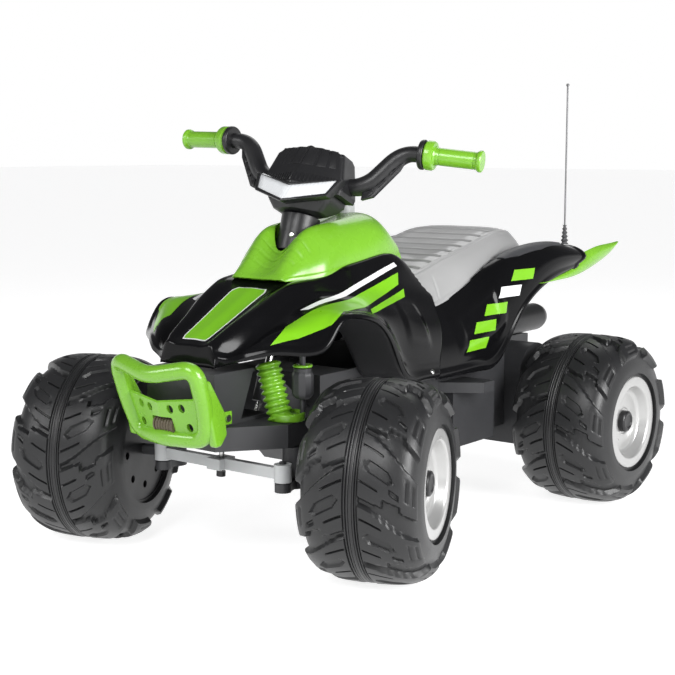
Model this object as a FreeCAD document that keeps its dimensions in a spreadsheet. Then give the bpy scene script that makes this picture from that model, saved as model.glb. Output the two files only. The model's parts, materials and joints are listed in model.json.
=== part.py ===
import FreeCAD, Part
import math
import os
import re

import Sketcher

Vec = FreeCAD.Vector
Rot = FreeCAD.Rotation
Place = FreeCAD.Placement

# The quad stands on its tyres at z = 0, faces -Y and has its rider's left at +X.
# Sizes called "back" are measured rearward from the line through the two kingpins.
# The steering rests turned to the left, as the toy is shown.
SIZES = {
    # whole vehicle
    "kingpin_line_y": -402.4,
    "wheelbase": 755,
    "rear_track": 600,
    "kingpin_x": 139,
    "wheel_offset": 155,
    "fit_gap": 0.3,
    "running_gap": 0.05,
    "cut_overrun": 30,
    # steering angles, in degrees
    "column_rake": 20,
    "rest_steer": 11.1,
    "steer_ratio": 1.7,
    # tyre
    "tyre_radius": 170,
    "tyre_half_width": 101,
    "tyre_wall": 5,
    "lug_height": 9,
    "lugs_per_side": 9,
    "bead_radius": 93,
    "bead_width": 14,
    # rim, inner disc and hub cap
    "rim_face": 95,
    "rim_thick": 5,
    "rim_ring": 20,
    "rim_dish": 22,
    "rim_holes": 9,
    "rim_hole_radius": 8,
    "rim_hole_circle": 46,
    "hub_radius": 24,
    "hub_depth": 60,
    "inner_disc_face": 92,
    "inner_disc_thick": 4,
    "inner_hub_radius": 20,
    "inner_hub_length": 110,
    "inner_holes": 8,
    "inner_hole_radius": 7,
    "inner_hole_circle": 66,
    "cap_radius": 21.5,
    "cap_height": 14,
    "cap_round": 4,
    # axles
    "stub_radius": 10,
    "axle_radius": 10,
    "axle_overhang": 82,
    # front frame
    "beam_low": 219,
    "beam_height": 40,
    "beam_half_width": 152,
    "beam_front_back": -128,
    "beam_end_back": -30,
    "beam_rear_back": 34,
    "beam_front_half": 78,
    "frame_top": 348,
    "frame_wall": 6,
    "strut_low_back": -64,
    "strut_rear_back": 20,
    "strut_top_front_back": -33,
    "strut_top_rear_back": -8,
    "frame_rear_back": 115,
    # kingpins and knuckles
    "kingpin_radius": 9,
    "knuckle_radius": 20,
    "knuckle_low": 146,
    "knuckle_top": 217,
    "kingpin_rise": 40,
    "knuckle_arm": 51,
    "arm_width": 24,
    "arm_low": 149,
    "arm_high": 164,
    "arm_boss_radius": 14,
    "arm_pin_radius": 6,
    "arm_pin_top": 200,
    # tie rod
    "rod_low": 170,
    "rod_high": 189,
    "rod_thick": 13,
    "rod_boss_radius": 15,
    "rod_boss_low": 166,
    "rod_boss_high": 196,
    "rod_slack": 0.3,
    "crank_slot_radius": 9,
    "crank_slot_length": 10,
    "crank_eye_radius": 15,
    # steering column
    "column_back": 185,
    "column_z": 570,
    "column_radius": 7,
    "crank_z": 205,
    "crank_lead": 2.7,
    "crank_pin_radius": 4.5,
    "crank_pin_drop": 40,
    "crank_cap_radius": 8,
    "crank_cap_height": 9,
    "sleeve_radius": 28,
    "sleeve_wall": 4,
    "sleeve_low": -48,
    "sleeve_top": 23,
    "bush_radius": 15,
    "bush_length": 46,
    "bush_foot": 300,
    # dash and light bar, in the column's own frame
    "dash_wall": 3,
    "dash_rear": 38,
    "bowl_foot_half": 46,
    "bowl_foot_front": 30,
    "bowl_foot_rear": 14,
    "bowl_rim": 44,
    "bowl_half": 64,
    "bowl_front": 58,
    "bowl_sweep": 26,
    "cover_low": 61,
    "cover_half": 82,
    "cover_front": 66,
    "cover_sweep": 40,
    "cover_top": 147,
    "cover_top_half": 64,
    "cover_top_front": 24,
    "cover_top_sweep": 10,
    "light_half": 79,
    "light_ridge_front": 86,
    "light_ridge_low": 28,
    "light_end_front": 57,
    "light_end_low": 51,
    "light_height": 32,
    "light_lean": 14,
    "light_thick": 12,
    # handlebar and grips
    "bar_radius": 14,
    "bar_bend": 34,
    "bar_low": 90,
    "bar_high": 165,
    "bar_low_reach": 108,
    "bar_high_reach": 161,
    "bar_low_back": 17,
    "bar_set_back": 28,
    "grip_start": 204,
    "grip_gap": 2.2,
    "grip_end": 310,
    "grip_sweep": 14,
    "grip_radius": 16,
    "grip_flange_radius": 26,
    "grip_flange_width": 18,
    "grip_tip_radius": 19,
    "grip_tip_width": 6,
    "bar_disc_radius": 25,
    "bar_disc_width": 7,
    "bar_core_radius": 10,
    # bumper and winch
    "bumper_top_z": 367,
    "bumper_dip_z": 349,
    "bumper_low_z": 241,
    "bumper_top_half": 88,
    "bumper_low_half": 76,
    "bumper_top_back": -186,
    "bumper_low_back": -146,
    "bumper_point": 16,
    "bumper_tube": 14.5,
    "bumper_bend": 26,
    "bumper_plate": 9,
    "window_low": 312,
    "window_dip": 10,
    "bumper_hole_radius": 6.5,
    "tab_thick": 5,
    "tab_height": 22,
    "tab_low": 262,
    "tab_end_back": -92,
    "winch_radius": 14,
    "winch_length": 44,
    "winch_z": 262,
    "winch_inset": 4,
    "screw_radius": 4,
    "screw_head_radius": 6,
    "screw_head": 3,
    # suspension dummies
    "shock_radius": 22,
    "shock_core": 17,
    "shock_ribs": 8,
    "shock_cup_radius": 30,
    "shock_cup_height": 12,
    "shock_x": 120,
    "shock_cup_x": 128,
    "shock_length": 104,
    "shock_lean": 17,
    "shock_back": -10,
    "damper_x": 146,
    "damper_back": 16,
    "damper_radius": 15,
    "damper_low": 300,
    "damper_height": 48,
    "damper_rod_radius": 5,
    "damper_bolt_height": 30,
    # front body
    "front_body_back": -108,
    "front_body_length": 533,
    "front_body_half": 228,
    "front_body_low": 290,
    "front_body_height": 200,
    "body_wall": 4,
    "seam_low_back": 342,
    "seam_high_back": 412,
    "seam_low": 300,
    "seam_high": 423,
    "post_radius": 9,
    "post_front_back": 330,
    "rear_post_x": 55,
    # rear body
    "rear_body_back": 330,
    "rear_body_length": 545,
    "rear_body_half": 225,
    "rear_body_low": 290,
    "rear_body_height": 235,
    "tail_notch_half": 132,
    "tail_notch_back": 850,
    # cowl and filler cap
    "cowl_back": 72,
    "cowl_length": 306,
    "cowl_half": 106,
    "cowl_low": 485,
    "cowl_height": 106,
    "cowl_wall": 3.5,
    "cowl_post_x": 60,
    "cowl_post_back": 300,
    "notch_radius": 33,
    "notch_half": 47,
    "filler_radius": 19,
    "filler_height": 16,
    "filler_back": 322,
    # seat
    "seat_back": 374,
    "seat_length": 424,
    "seat_half": 140,
    "seat_low": 415,
    "seat_height": 135,
    "seat_headroom": 34,
    "seat_wall": 5,
    # tail fins and mufflers
    "fin_start_back": 686,
    "fin_tip_back": 1030,
    "fin_x": 216,
    "fin_low": 443,
    "fin_tip_z": 511,
    "fin_thick": 12,
    "muffler_x": 104,
    "muffler_z": 352,
    "muffler_radius": 29,
    "muffler_tip_radius": 20,
    "muffler_tip_length": 12,
    "muffler_start_back": 640,
    "muffler_end_back": 868,
    # aerial
    "aerial_x": 184,
    "aerial_back": 845,
    "aerial_foot_radius": 9,
    "aerial_foot_height": 40,
    "aerial_ribs": 5,
    "aerial_top": 846,
    "whip_radius": 1.8,
    "whip_tip_radius": 3.4,
    # chassis tub and footboards
    "tub_half": 104,
    "tub_low": 128,
    "tub_high": 318,
    "tub_front_back": 115,
    "tub_rear_back": 838,
    "tub_wall": 6,
    "tub_front_rise": 90,
    "shoulder_half": 150,
    "shoulder_front_back": 268,
    "shoulder_rear_back": 664,
    "shoulder_low": 150,
    "foot_plate_z": 270,
    "foot_plate_thick": 20,
    "foot_plate_half": 222,
    "foot_front_back": 420,
    "foot_corner_back": 470,
    "foot_rear_back": 508,
    "foot_box_half": 172,
    "foot_box_low": 140,
    "foot_box_front_back": 440,
    "foot_box_rear_back": 590,
    # drive
    "gearbox_half": 186,
    "gearbox_radius": 62,
    "gearbox_back": 728,
    "gearbox_z": 254,
    "gearbox_low": 112,
    "motor_radius": 21,
    "motor_length": 58,
    "motor_back": 700,
    "motor_z": 262,
    "battery_length": 150,
    "battery_width": 98,
    "battery_height": 96,
    "battery_back": 430,
    # accelerator pedal
    "pedal_x": 175,
    "pedal_width": 36,
    "pedal_length": 54,
    "pedal_thick": 8,
    "pedal_hinge_back": 498,
    "pedal_hinge_rise": 9,
    "pedal_pin_radius": 3,
    "pedal_lean": 11,
    "pedal_ear": 6,
}

# Half sections of the shells, each a place along the shell and points from the top centre to the lip,
# as shares of the shell's length, half width and height.
FRONT_BODY_SHARES = [
    (0, [(0, 0.495), (0.132, 0.495), (0.211, 0.51), (0.25, 0.46), (0.268, 0.405), (0.272, 0.335)]),
    (0.043, [(0, 0.555), (0.14, 0.555), (0.246, 0.57), (0.325, 0.435), (0.395, 0.435), (0.456, 0.405)]),
    (0.118, [(0, 0.655), (0.149, 0.655), (0.281, 0.68), (0.39, 0.53), (0.526, 0.58), (0.667, 0.455)]),
    (0.21, [(0, 0.78), (0.158, 0.78), (0.333, 0.81), (0.456, 0.7), (0.689, 0.68), (0.899, 0.49)]),
    (0.266, [(0, 0.855), (0.162, 0.855), (0.351, 0.885), (0.478, 0.77), (0.715, 0.75), (0.925, 0.665)]),
    (0.355, [(0, 0.94), (0.197, 0.945), (0.386, 0.97), (0.509, 0.85), (0.746, 0.78), (0.939, 0.715)]),
    (0.447, [(0, 0.95), (0.263, 0.96), (0.43, 0.995), (0.535, 0.865), (0.759, 0.77), (0.934, 0.655)]),
    (0.557, [(0, 0.95), (0.263, 0.97), (0.439, 1.025), (0.575, 0.89), (0.768, 0.735), (0.917, 0.415)]),
    (0.627, [(0, 0.95), (0.263, 0.975), (0.443, 1.045), (0.592, 0.875), (0.776, 0.69), (0.904, 0.14)]),
    (0.737, [(0, 0.95), (0.263, 0.98), (0.443, 1.06), (0.61, 0.835), (0.789, 0.57), (0.895, 0.05)]),
    (0.85, [(0, 0.94), (0.241, 0.97), (0.404, 1.04), (0.61, 0.78), (0.781, 0.51), (0.89, 0.04)]),
    (1, [(0, 0.9), (0.219, 0.885), (0.461, 0.84), (0.623, 0.675), (0.772, 0.425), (0.877, 0.02)]),
]
REAR_BODY_SHARES = [
    (0, [(0, 0.64), (0.49, 0.575), (0.667, 0.46), (0.81, 0.277), (0.89, 0.017)]),
    (0.165, [(0, 0.672), (0.498, 0.604), (0.658, 0.477), (0.8, 0.29), (0.884, 0.01)]),
    (0.312, [(0, 0.732), (0.516, 0.664), (0.676, 0.574), (0.818, 0.366), (0.88, 0)]),
    (0.422, [(0, 0.787), (0.533, 0.757), (0.702, 0.698), (0.836, 0.468), (0.889, 0.05)]),
    (0.532, [(0, 0.83), (0.551, 0.838), (0.738, 0.843), (0.867, 0.638), (0.907, 0.349)]),
    (0.642, [(0, 0.86), (0.569, 0.894), (0.764, 0.945), (0.911, 0.8), (0.933, 0.57)]),
    (0.771, [(0, 0.86), (0.578, 0.919), (0.8, 0.983), (0.969, 0.885), (0.951, 0.689)]),
    (0.9, [(0, 0.851), (0.587, 0.906), (0.809, 0.962), (0.987, 0.877), (0.942, 0.74)]),
    (1, [(0, 0.834), (0.613, 0.877), (0.827, 0.915), (0.978, 0.851), (0.924, 0.783)]),
]
SEAT_SHARES = [
    (0, [(0, 0.467), (0.4, 0.459), (0.6, 0.4), (0.743, 0.274), (0.829, 0.141)]),
    (0.106, [(0, 0.511), (0.443, 0.511), (0.7, 0.467), (0.871, 0.237), (0.95, 0)]),
    (0.231, [(0, 0.615), (0.443, 0.615), (0.714, 0.578), (0.893, 0.319), (0.971, 0.067)]),
    (0.441, [(0, 0.763), (0.443, 0.763), (0.721, 0.726), (0.914, 0.489), (0.993, 0.237)]),
    (0.63, [(0, 0.904), (0.443, 0.904), (0.721, 0.867), (0.914, 0.659), (0.986, 0.437)]),
    (0.769, [(0, 0.993), (0.443, 0.993), (0.707, 0.948), (0.879, 0.77), (0.964, 0.556)]),
    (0.875, [(0, 1), (0.443, 0.993), (0.693, 0.941), (0.85, 0.763), (0.929, 0.607)]),
    (0.958, [(0, 0.889), (0.429, 0.881), (0.657, 0.837), (0.793, 0.726), (0.864, 0.615)]),
    (1, [(0, 0.711), (0.414, 0.711), (0.629, 0.689), (0.743, 0.652), (0.814, 0.607)]),
]
COWL_SHARES = [
    (0, [(0, 0.047), (0.34, 0.085), (0.472, 0.085), (0.547, 0.057), (0.585, 0)]),
    (0.046, [(0, 0.113), (0.358, 0.236), (0.509, 0.198), (0.604, 0.113), (0.642, 0.019)]),
    (0.105, [(0, 0.236), (0.377, 0.415), (0.566, 0.33), (0.679, 0.189), (0.736, 0.038)]),
    (0.209, [(0, 0.462), (0.415, 0.726), (0.679, 0.519), (0.849, 0.274), (0.906, 0.085)]),
    (0.337, [(0, 0.66), (0.434, 0.868), (0.745, 0.651), (0.906, 0.368), (0.953, 0.132)]),
    (0.484, [(0, 0.802), (0.462, 0.915), (0.774, 0.708), (0.925, 0.425), (0.972, 0.17)]),
    (0.712, [(0, 0.991), (0.491, 0.991), (0.802, 0.792), (0.943, 0.481), (0.981, 0.208)]),
    (0.892, [(0, 0.972), (0.491, 0.925), (0.755, 0.726), (0.877, 0.481), (0.925, 0.236)]),
    (1, [(0, 0.698), (0.434, 0.67), (0.679, 0.538), (0.792, 0.406), (0.84, 0.274)]),
]

doc = FreeCAD.newDocument("kids_quad_bike")
sheet = doc.addObject("Spreadsheet::Sheet", "sizes")
for row, (alias, value) in enumerate(SIZES.items(), 1):
    sheet.set(f"A{row}", alias)
    sheet.set(f"B{row}", str(value))
    sheet.setAlias(f"B{row}", alias)
doc.recompute()

NODES = {}
SIDES = {"left": 1, "right": -1}


def cells(text):
    """An expression in plain size names, written for the sheet."""
    return re.sub(r"[a-z][a-z_]*", lambda m: f"sizes.{m.group()}" if m.group() in SIZES else m.group(), text)


def number(text):
    """The value of an expression in plain size names."""
    return float(sheet.evalExpression(cells(text)))


def bind(thing, **texts):
    """Ties properties to expressions in plain size names."""
    for prop, text in texts.items():
        thing.setExpression(prop, cells(text))
    return thing


def move_to(thing, at):
    """Ties a thing's place to three expressions."""
    for letter, text in zip("xyz", at):
        thing.setExpression(f"Placement.Base.{letter}", cells(text))
    return thing


AXES = {"z": Vec(0, 0, 1), "x": Vec(1, 0, 0), "-x": Vec(-1, 0, 0), "y": Vec(0, 1, 0), "-z": Vec(0, 0, -1)}


def bar(name, radius, height):
    """A round bar from the origin upward."""
    return bind(doc.addObject("Part::Cylinder", name), Radius=radius, Height=height)


def cylinder(name, radius, height, at, along="z"):
    thing = bar(name, radius, height)
    thing.Placement = Place(Vec(), Rot(Vec(0, 0, 1), AXES[along]))
    return move_to(thing, at)


def block(name, length, width, height, at):
    thing = bind(doc.addObject("Part::Box", name), Length=length, Width=width, Height=height)
    return move_to(thing, at)


def fuse(name, *things):
    thing = doc.addObject("Part::MultiFuse", name)
    thing.Shapes = list(things)
    thing.Refine = True
    return thing


def cut(name, base, *tools):
    thing = doc.addObject("Part::Cut", name)
    thing.Base = base
    thing.Tool = tools[0] if len(tools) == 1 else fuse(name + "_tools", *tools)
    return thing


def solid(name, shape):
    """A shape made from the sheet's values in this script."""
    thing = doc.addObject("Part::Feature", name)
    thing.Shape = shape
    return thing


def body(name):
    return doc.addObject("PartDesign::Body", name)


def sketch_on(holder, name, role):
    """An empty sketch on one of the body's own origin planes."""
    sketch = holder.newObject("Sketcher::SketchObject", name)
    plane = next(p for p in holder.Origin.OriginFeatures if p.Role == role)
    sketch.AttachmentSupport = [(plane, "")]
    sketch.MapMode = "FlatFace"
    return sketch


def pin_point(sketch, geometry, position, at):
    """Ties one point of a sketch to two expressions."""
    for kind, text in zip(("DistanceX", "DistanceY"), at):
        rule = sketch.addConstraint(Sketcher.Constraint(kind, -1, 1, geometry, position, number(text)))
        if text != "0":
            sketch.setExpression(f"Constraints[{rule}]", cells(text))


def outline(holder, name, role, corners):
    """A closed sketch of straight edges with its corners at the given expressions."""
    sketch = sketch_on(holder, name, role)
    spots = [Vec(number(across), number(up), 0) for across, up in corners]
    for start, end in zip(spots, spots[1:] + spots[:1]):
        sketch.addGeometry(Part.LineSegment(start, end), False)
    for index in range(len(spots)):
        sketch.addConstraint(Sketcher.Constraint("Coincident", index, 2, (index + 1) % len(spots), 1))
        pin_point(sketch, index, 1, corners[index])
    return sketch


def ring(holder, name, role, radius, at):
    """A sketch of one circle."""
    sketch = sketch_on(holder, name, role)
    centre = Vec(number(at[0]), number(at[1]), 0)
    sketch.addGeometry(Part.Circle(centre, Vec(0, 0, 1), number(radius)), False)
    rule = sketch.addConstraint(Sketcher.Constraint("Radius", 0, number(radius)))
    sketch.setExpression(f"Constraints[{rule}]", cells(radius))
    pin_point(sketch, 0, 3, at)
    return sketch


def turned(holder, name, corners):
    """The body's turned solid: its outline, radius across and axle up, about the axle."""
    sketch = outline(holder, name + "_profile", "XZ_Plane", corners)
    turn = holder.newObject("PartDesign::Revolution", name + "_turn")
    turn.Profile = sketch
    turn.ReferenceAxis = (sketch, ["V_Axis"])
    turn.Angle = 360
    doc.recompute()
    return turn


def padded(holder, name, sketch, length, centred=False, back=False):
    pad = holder.newObject("PartDesign::Pad", name + "_pad")
    pad.Profile = sketch
    pad.Midplane = centred
    pad.Reversed = back
    return bind(pad, Length=length)


def hole_ring(holder, name, radius, circle, copies):
    """A ring of round holes right through a turned body, about its axle."""
    sketch = ring(holder, name + "_hole", "XY_Plane", radius, (circle, "0"))
    pocket = holder.newObject("PartDesign::Pocket", name + "_pocket")
    pocket.Profile = sketch
    pocket.Type = "ThroughAll"
    pocket.Midplane = True
    doc.recompute()
    pattern = holder.newObject("PartDesign::PolarPattern", name + "_ring")
    pattern.Originals = [pocket]
    pattern.Axis = (sketch, ["N_Axis"])
    pattern.Angle = 360
    bind(pattern, Occurrences=copies)
    holder.Tip = pattern
    doc.recompute()


# Where the moving groups stand at rest
on_chassis = Place(Vec(0, sheet.kingpin_line_y, 0), Rot())
column_base = Place(Vec(0, sheet.column_back, sheet.column_z), Rot(Vec(1, 0, 0), -sheet.column_rake))
on_column = on_chassis * column_base * Place(Vec(), Rot(Vec(0, 0, 1), sheet.rest_steer))
wheel_steer = sheet.rest_steer * sheet.steer_ratio


def on_knuckle(side):
    return on_chassis * Place(Vec(side * sheet.kingpin_x, 0, 0), Rot(Vec(0, 0, 1), wheel_steer))


def on_front_wheel(side):
    hub = Vec(side * sheet.wheel_offset, 0, sheet.tyre_radius)
    return on_knuckle(side) * Place(hub, Rot(Vec(0, 0, 1), Vec(side, 0, 0)))


def on_rear_wheel(side):
    hub = Vec(side * sheet.rear_track / 2, sheet.wheelbase, sheet.tyre_radius)
    return on_chassis * Place(hub, Rot(Vec(0, 0, 1), Vec(side, 0, 0)))


def node(label, thing, place=on_chassis):
    """Names a finished sub-part and stands it in the quad's frame."""
    thing.Label = label
    thing.Placement = place
    NODES[label] = thing
    return thing


def smooth(points):
    curve = Part.BSplineCurve()
    curve.interpolate(points)
    return curve.toShape()


def moved_out(points, away):
    """The points of a half section moved outward."""
    moved = []
    for index, point in enumerate(points):
        before = points[max(index - 1, 0)]
        after = points[min(index + 1, len(points) - 1)]
        along = (after - before).normalize()
        if index == 0:
            along = Vec(1, 0, 0)
        moved.append(point + Vec(-along.z, 0, along.x) * away)
    return moved


def both_halves(points):
    mirrored = [Vec(-p.x, p.y, p.z) for p in reversed(points[1:])]
    return mirrored + points


def half_sections(shares, back, length, half, low, height):
    """The half sections of a shell in real sizes."""
    for along, points in shares:
        yield [Vec(x * half, back + along * length, low + up * height) for x, up in points]


def shell(shares, sizes, wall, capped_ends=()):
    """A thin shell lofted through its sections, with some ends closed by a plate."""
    rings = []
    plates = []
    sections = list(half_sections(shares, *sizes))
    for index, half in enumerate(sections):
        outer = both_halves(half)
        inner = both_halves(moved_out(half, -wall))
        edges = [smooth(outer), Part.makeLine(outer[-1], inner[-1])]
        edges += [smooth(list(reversed(inner))), Part.makeLine(inner[0], outer[0])]
        rings.append(Part.Wire(edges))
        if index in capped_ends:
            rim = both_halves(moved_out(half, -wall / 2))
            face = Part.Face(Part.Wire([smooth(rim), Part.makeLine(rim[-1], rim[0])]))
            inward = wall if index == 0 else -wall
            plates.append(face.extrude(Vec(0, inward, 0)))
    skin = Part.makeLoft(rings, True, False)
    return skin.multiFuse(plates).removeSplitter() if plates else skin


def filled(shares, sizes, grow, drop):
    """The closed volume under a shell, grown outward and carried down below its lips."""
    wires = []
    for half in half_sections(shares, *sizes):
        outer = both_halves(moved_out(half, grow))
        feet = [outer[-1] - Vec(0, 0, drop), outer[0] - Vec(0, 0, drop)]
        wires.append(Part.Wire([smooth(outer), Part.makePolygon([outer[-1], *feet, outer[0]])]))
    return Part.makeLoft(wires, True, False)


def rounded_path(points, bend):
    """Straight runs joined by tangent arcs of one bend radius."""
    edges = []
    start = points[0]
    for before, corner, after in zip(points, points[1:], points[2:]):
        into = (corner - before).normalize()
        out = (after - corner).normalize()
        turn = into.getAngle(out)
        reach = bend * math.tan(turn / 2)
        first = corner - into * reach
        last = corner + out * reach
        middle = corner + (out - into).normalize() * bend * (1 / math.cos(turn / 2) - 1)
        edges.append(Part.makeLine(start, first))
        edges.append(Part.Arc(first, middle, last).toShape())
        start = last
    edges.append(Part.makeLine(start, points[-1]))
    return Part.Wire(edges)


def tube(points, radius, bend):
    """A round bar along a bent path."""
    path = rounded_path(points, bend)
    heading = points[1] - points[0]
    section = Part.Wire(Part.makeCircle(radius, points[0], heading))
    return path.makePipeShell([section], True, False)


def prism(corners, away):
    """A flat outline swept straight."""
    return Part.Face(Part.makePolygon(corners + corners[:1])).extrude(away)


def lofted_box(levels):
    """A solid through stacked outlines with equal corner counts."""
    return Part.makeLoft([Part.makePolygon(level + level[:1]) for level in levels], True, True)


# Tyre: a hollow moulding with chevron lugs
TREAD_SHARES = [(0.6, 1), (0.75, 0.96), (0.885, 0.84), (0.96, 0.55), (0.98, 0)]
LUG_SHARES = [(0.05, -0.26), (0.55, -0.08), (0.9, 0.1), (1.06, 0.24), (1.06, 0.72), (0.6, 0.46), (0.05, 0.14)]


def tread_half(radius, width):
    """Points from the bead to the crown on one side."""
    return [Vec(r * radius, 0, o * width) for r, o in TREAD_SHARES]


def tread_line(radius, width):
    upper = tread_half(radius, width)
    lower = [Vec(p.x, 0, -p.z) for p in reversed(upper[:-1])]
    return upper + lower


def turned_face(edges):
    """A full ring swept from a closed outline beside the axle, with its skin facing out."""
    swept = Part.Face(Part.Wire(edges)).revolve(Vec(), Vec(0, 0, 1), 360)
    return swept if swept.Volume > 0 else swept.reversed()


def tyre_shape():
    carcass = sheet.tyre_radius - sheet.lug_height
    outer = tread_line(carcass / TREAD_SHARES[-1][0], sheet.tyre_half_width)
    inner_scale = (carcass - sheet.tyre_wall) / TREAD_SHARES[-1][0]
    inner = tread_line(inner_scale, sheet.tyre_half_width - sheet.tyre_wall)
    bead = sheet.bead_radius
    lip = sheet.tyre_half_width - sheet.bead_width
    outer_bead = Vec(bead, 0, outer[0].z)
    inner_bead = Vec(bead, 0, lip)
    edges = [smooth(outer)]
    foot = [outer[-1], Vec(bead, 0, outer[-1].z), Vec(bead, 0, -lip), Vec(inner[0].x, 0, -lip), inner[-1]]
    head = [inner[0], Vec(inner[0].x, 0, lip), inner_bead, outer_bead, outer[0]]
    edges += [Part.makeLine(a, b) for a, b in zip(foot, foot[1:])]
    edges.append(smooth(list(reversed(inner))))
    edges += [Part.makeLine(a, b) for a, b in zip(head, head[1:])]
    tyre = turned_face(edges)
    band_line = tread_line(sheet.tyre_radius / TREAD_SHARES[-1][0], sheet.tyre_half_width)
    band = turned_face([smooth(band_line), Part.makeLine(band_line[-1], band_line[0])])
    core = tread_line((carcass - sheet.tyre_wall / 2) / TREAD_SHARES[-1][0], sheet.tyre_half_width)
    core_edges = [smooth(core), Part.makeLine(core[-1], core[0])]
    band = band.cut(turned_face(core_edges))
    pitch = 2 * math.pi * sheet.tyre_radius / sheet.lugs_per_side
    lugs = []
    for side in (1, -1):
        corners = [Vec(0, a * pitch, side * o * sheet.tyre_half_width) for o, a in LUG_SHARES]
        lug = prism(corners, Vec(sheet.tyre_radius + sheet.cut_overrun, 0, 0)).common(band)
        shift = 0 if side == 1 else 180 / sheet.lugs_per_side
        for copy in range(int(sheet.lugs_per_side)):
            lugs.append(lug.copy())
            lugs[-1].rotate(Vec(), Vec(0, 0, 1), shift + copy * 360 / sheet.lugs_per_side)
    return tyre.multiFuse(lugs)


def rim_body(name):
    """Pale outer disc: flat ring, dish, hub tube on the axle."""
    holder = body(name)
    ring_in = "bead_radius - rim_ring"
    turned(holder, name, [
        ("axle_radius + running_gap", "rim_face - hub_depth"),
        ("hub_radius", "rim_face - hub_depth"),
        ("hub_radius", "rim_face - rim_dish - rim_thick"),
        (ring_in + " - rim_dish / 2", "rim_face - rim_dish - rim_thick"),
        (ring_in, "rim_face - rim_thick"),
        ("bead_radius - fit_gap", "rim_face - rim_thick"),
        ("bead_radius - fit_gap", "rim_face"),
        (ring_in, "rim_face"),
        (ring_in + " - rim_dish / 2", "rim_face - rim_dish"),
        ("axle_radius + running_gap", "rim_face - rim_dish"),
    ])
    hole_ring(holder, name, "rim_hole_radius", "rim_hole_circle", "rim_holes")
    return holder


def inner_disc_body(name):
    """Black disc on the wheel's inner side, with a hub tube."""
    holder = body(name)
    turned(holder, name, [
        ("axle_radius + running_gap", "-inner_disc_face"),
        ("bead_radius - fit_gap", "-inner_disc_face"),
        ("bead_radius - fit_gap", "inner_disc_thick - inner_disc_face"),
        ("inner_hub_radius", "inner_disc_thick - inner_disc_face"),
        ("inner_hub_radius", "inner_hub_length - inner_disc_face"),
        ("axle_radius + running_gap", "inner_hub_length - inner_disc_face"),
    ])
    hole_ring(holder, name, "inner_hole_radius", "inner_hole_circle", "inner_holes")
    return holder


def hub_cap_body(name):
    """Black cap over the axle's end, on the rim's dish."""
    holder = body(name)
    low = "rim_face - rim_dish"
    inside = "stub_radius + cap_round / 2"
    turned(holder, name, [
        (inside, low),
        ("cap_radius", low),
        ("cap_radius", low + " + cap_height - cap_round"),
        ("cap_radius - cap_round", low + " + cap_height"),
        ("0", low + " + cap_height"),
        ("0", low + " + cap_height - cap_round"),
        (inside, low + " + cap_height - cap_round"),
    ])
    return holder


tyre = tyre_shape()
for side_name, side in SIDES.items():
    for end, place in (("front", on_front_wheel(side)), ("rear", on_rear_wheel(side))):
        prefix = f"{end}_{side_name}"
        node(f"{prefix}_tyre", solid(f"{prefix}_tyre", tyre), place)
        node(f"{prefix}_rim", rim_body(f"{prefix}_rim"), place)
        node(f"{prefix}_inner_disc", inner_disc_body(f"{prefix}_inner_disc"), place)
        node(f"{prefix}_hub_cap", hub_cap_body(f"{prefix}_hub_cap"), place)


# Front frame: tapered beam with kingpin bosses, front wall and two windowed sides
def front_frame():
    holder = body("front_frame_beam")
    beam = outline(holder, "beam_plan", "XY_Plane", [
        ("-beam_front_half", "beam_front_back"),
        ("beam_front_half", "beam_front_back"),
        ("beam_half_width", "beam_end_back"),
        ("beam_half_width", "beam_rear_back"),
        ("-beam_half_width", "beam_rear_back"),
        ("-beam_half_width", "beam_end_back"),
    ])
    padded(holder, "beam", beam, "beam_height")
    holder.Placement = Place(Vec(0, 0, sheet.beam_low), Rot())
    sides = []
    for side_name, side in SIDES.items():
        wall = body(f"frame_wall_{side_name}")
        top = "beam_low + beam_height"
        plan = outline(wall, f"frame_side_{side_name}", "YZ_Plane", [
            ("beam_front_back", top),
            ("frame_rear_back", top),
            ("strut_top_rear_back + frame_wall * 2", "frame_top"),
            ("beam_front_back", "frame_top"),
        ])
        padded(wall, f"frame_side_{side_name}", plan, "frame_wall", back=side > 0)
        doc.recompute()
        window = outline(wall, f"frame_window_{side_name}", "YZ_Plane", [
            ("strut_low_back", top + " + frame_wall"),
            ("strut_rear_back", top + " + frame_wall"),
            ("strut_top_rear_back", "frame_top - frame_wall"),
            ("strut_top_front_back", "frame_top - frame_wall"),
        ])
        pocket = wall.newObject("PartDesign::Pocket", f"frame_window_{side_name}_cut")
        pocket.Profile = window
        pocket.Type = "ThroughAll"
        pocket.Midplane = True
        wall.Placement = Place(Vec(side * sheet.beam_front_half, 0, 0), Rot())
        sides.append(wall)
    front = block("frame_front", "beam_front_half * 2 - frame_wall", "frame_wall",
                  "frame_top - beam_low - beam_height",
                  ("frame_wall / 2 - beam_front_half", "beam_front_back", "beam_low + beam_height"))
    roof = block("frame_roof", "beam_front_half * 2", "strut_top_rear_back - beam_front_back", "frame_wall",
                 ("-beam_front_half", "beam_front_back", "frame_top - frame_wall"))
    bores = [cylinder(f"kingpin_bore_{name}", "kingpin_radius + running_gap", "beam_height * 2",
                      (f"{side} * kingpin_x", "0", "beam_low - beam_height / 2"))
             for name, side in SIDES.items()]
    screw_line = ("-beam_front_half * 2", "tab_end_back - tab_height / 2", "tab_low + tab_height / 2")
    screw_bore = cylinder("frame_screw_bore", "screw_radius + running_gap", "beam_front_half * 4",
                          screw_line, "x")
    return cut("front_frame", fuse("frame_parts", holder, front, roof, *sides), screw_bore, *bores)


node("front_frame", front_frame())


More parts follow.
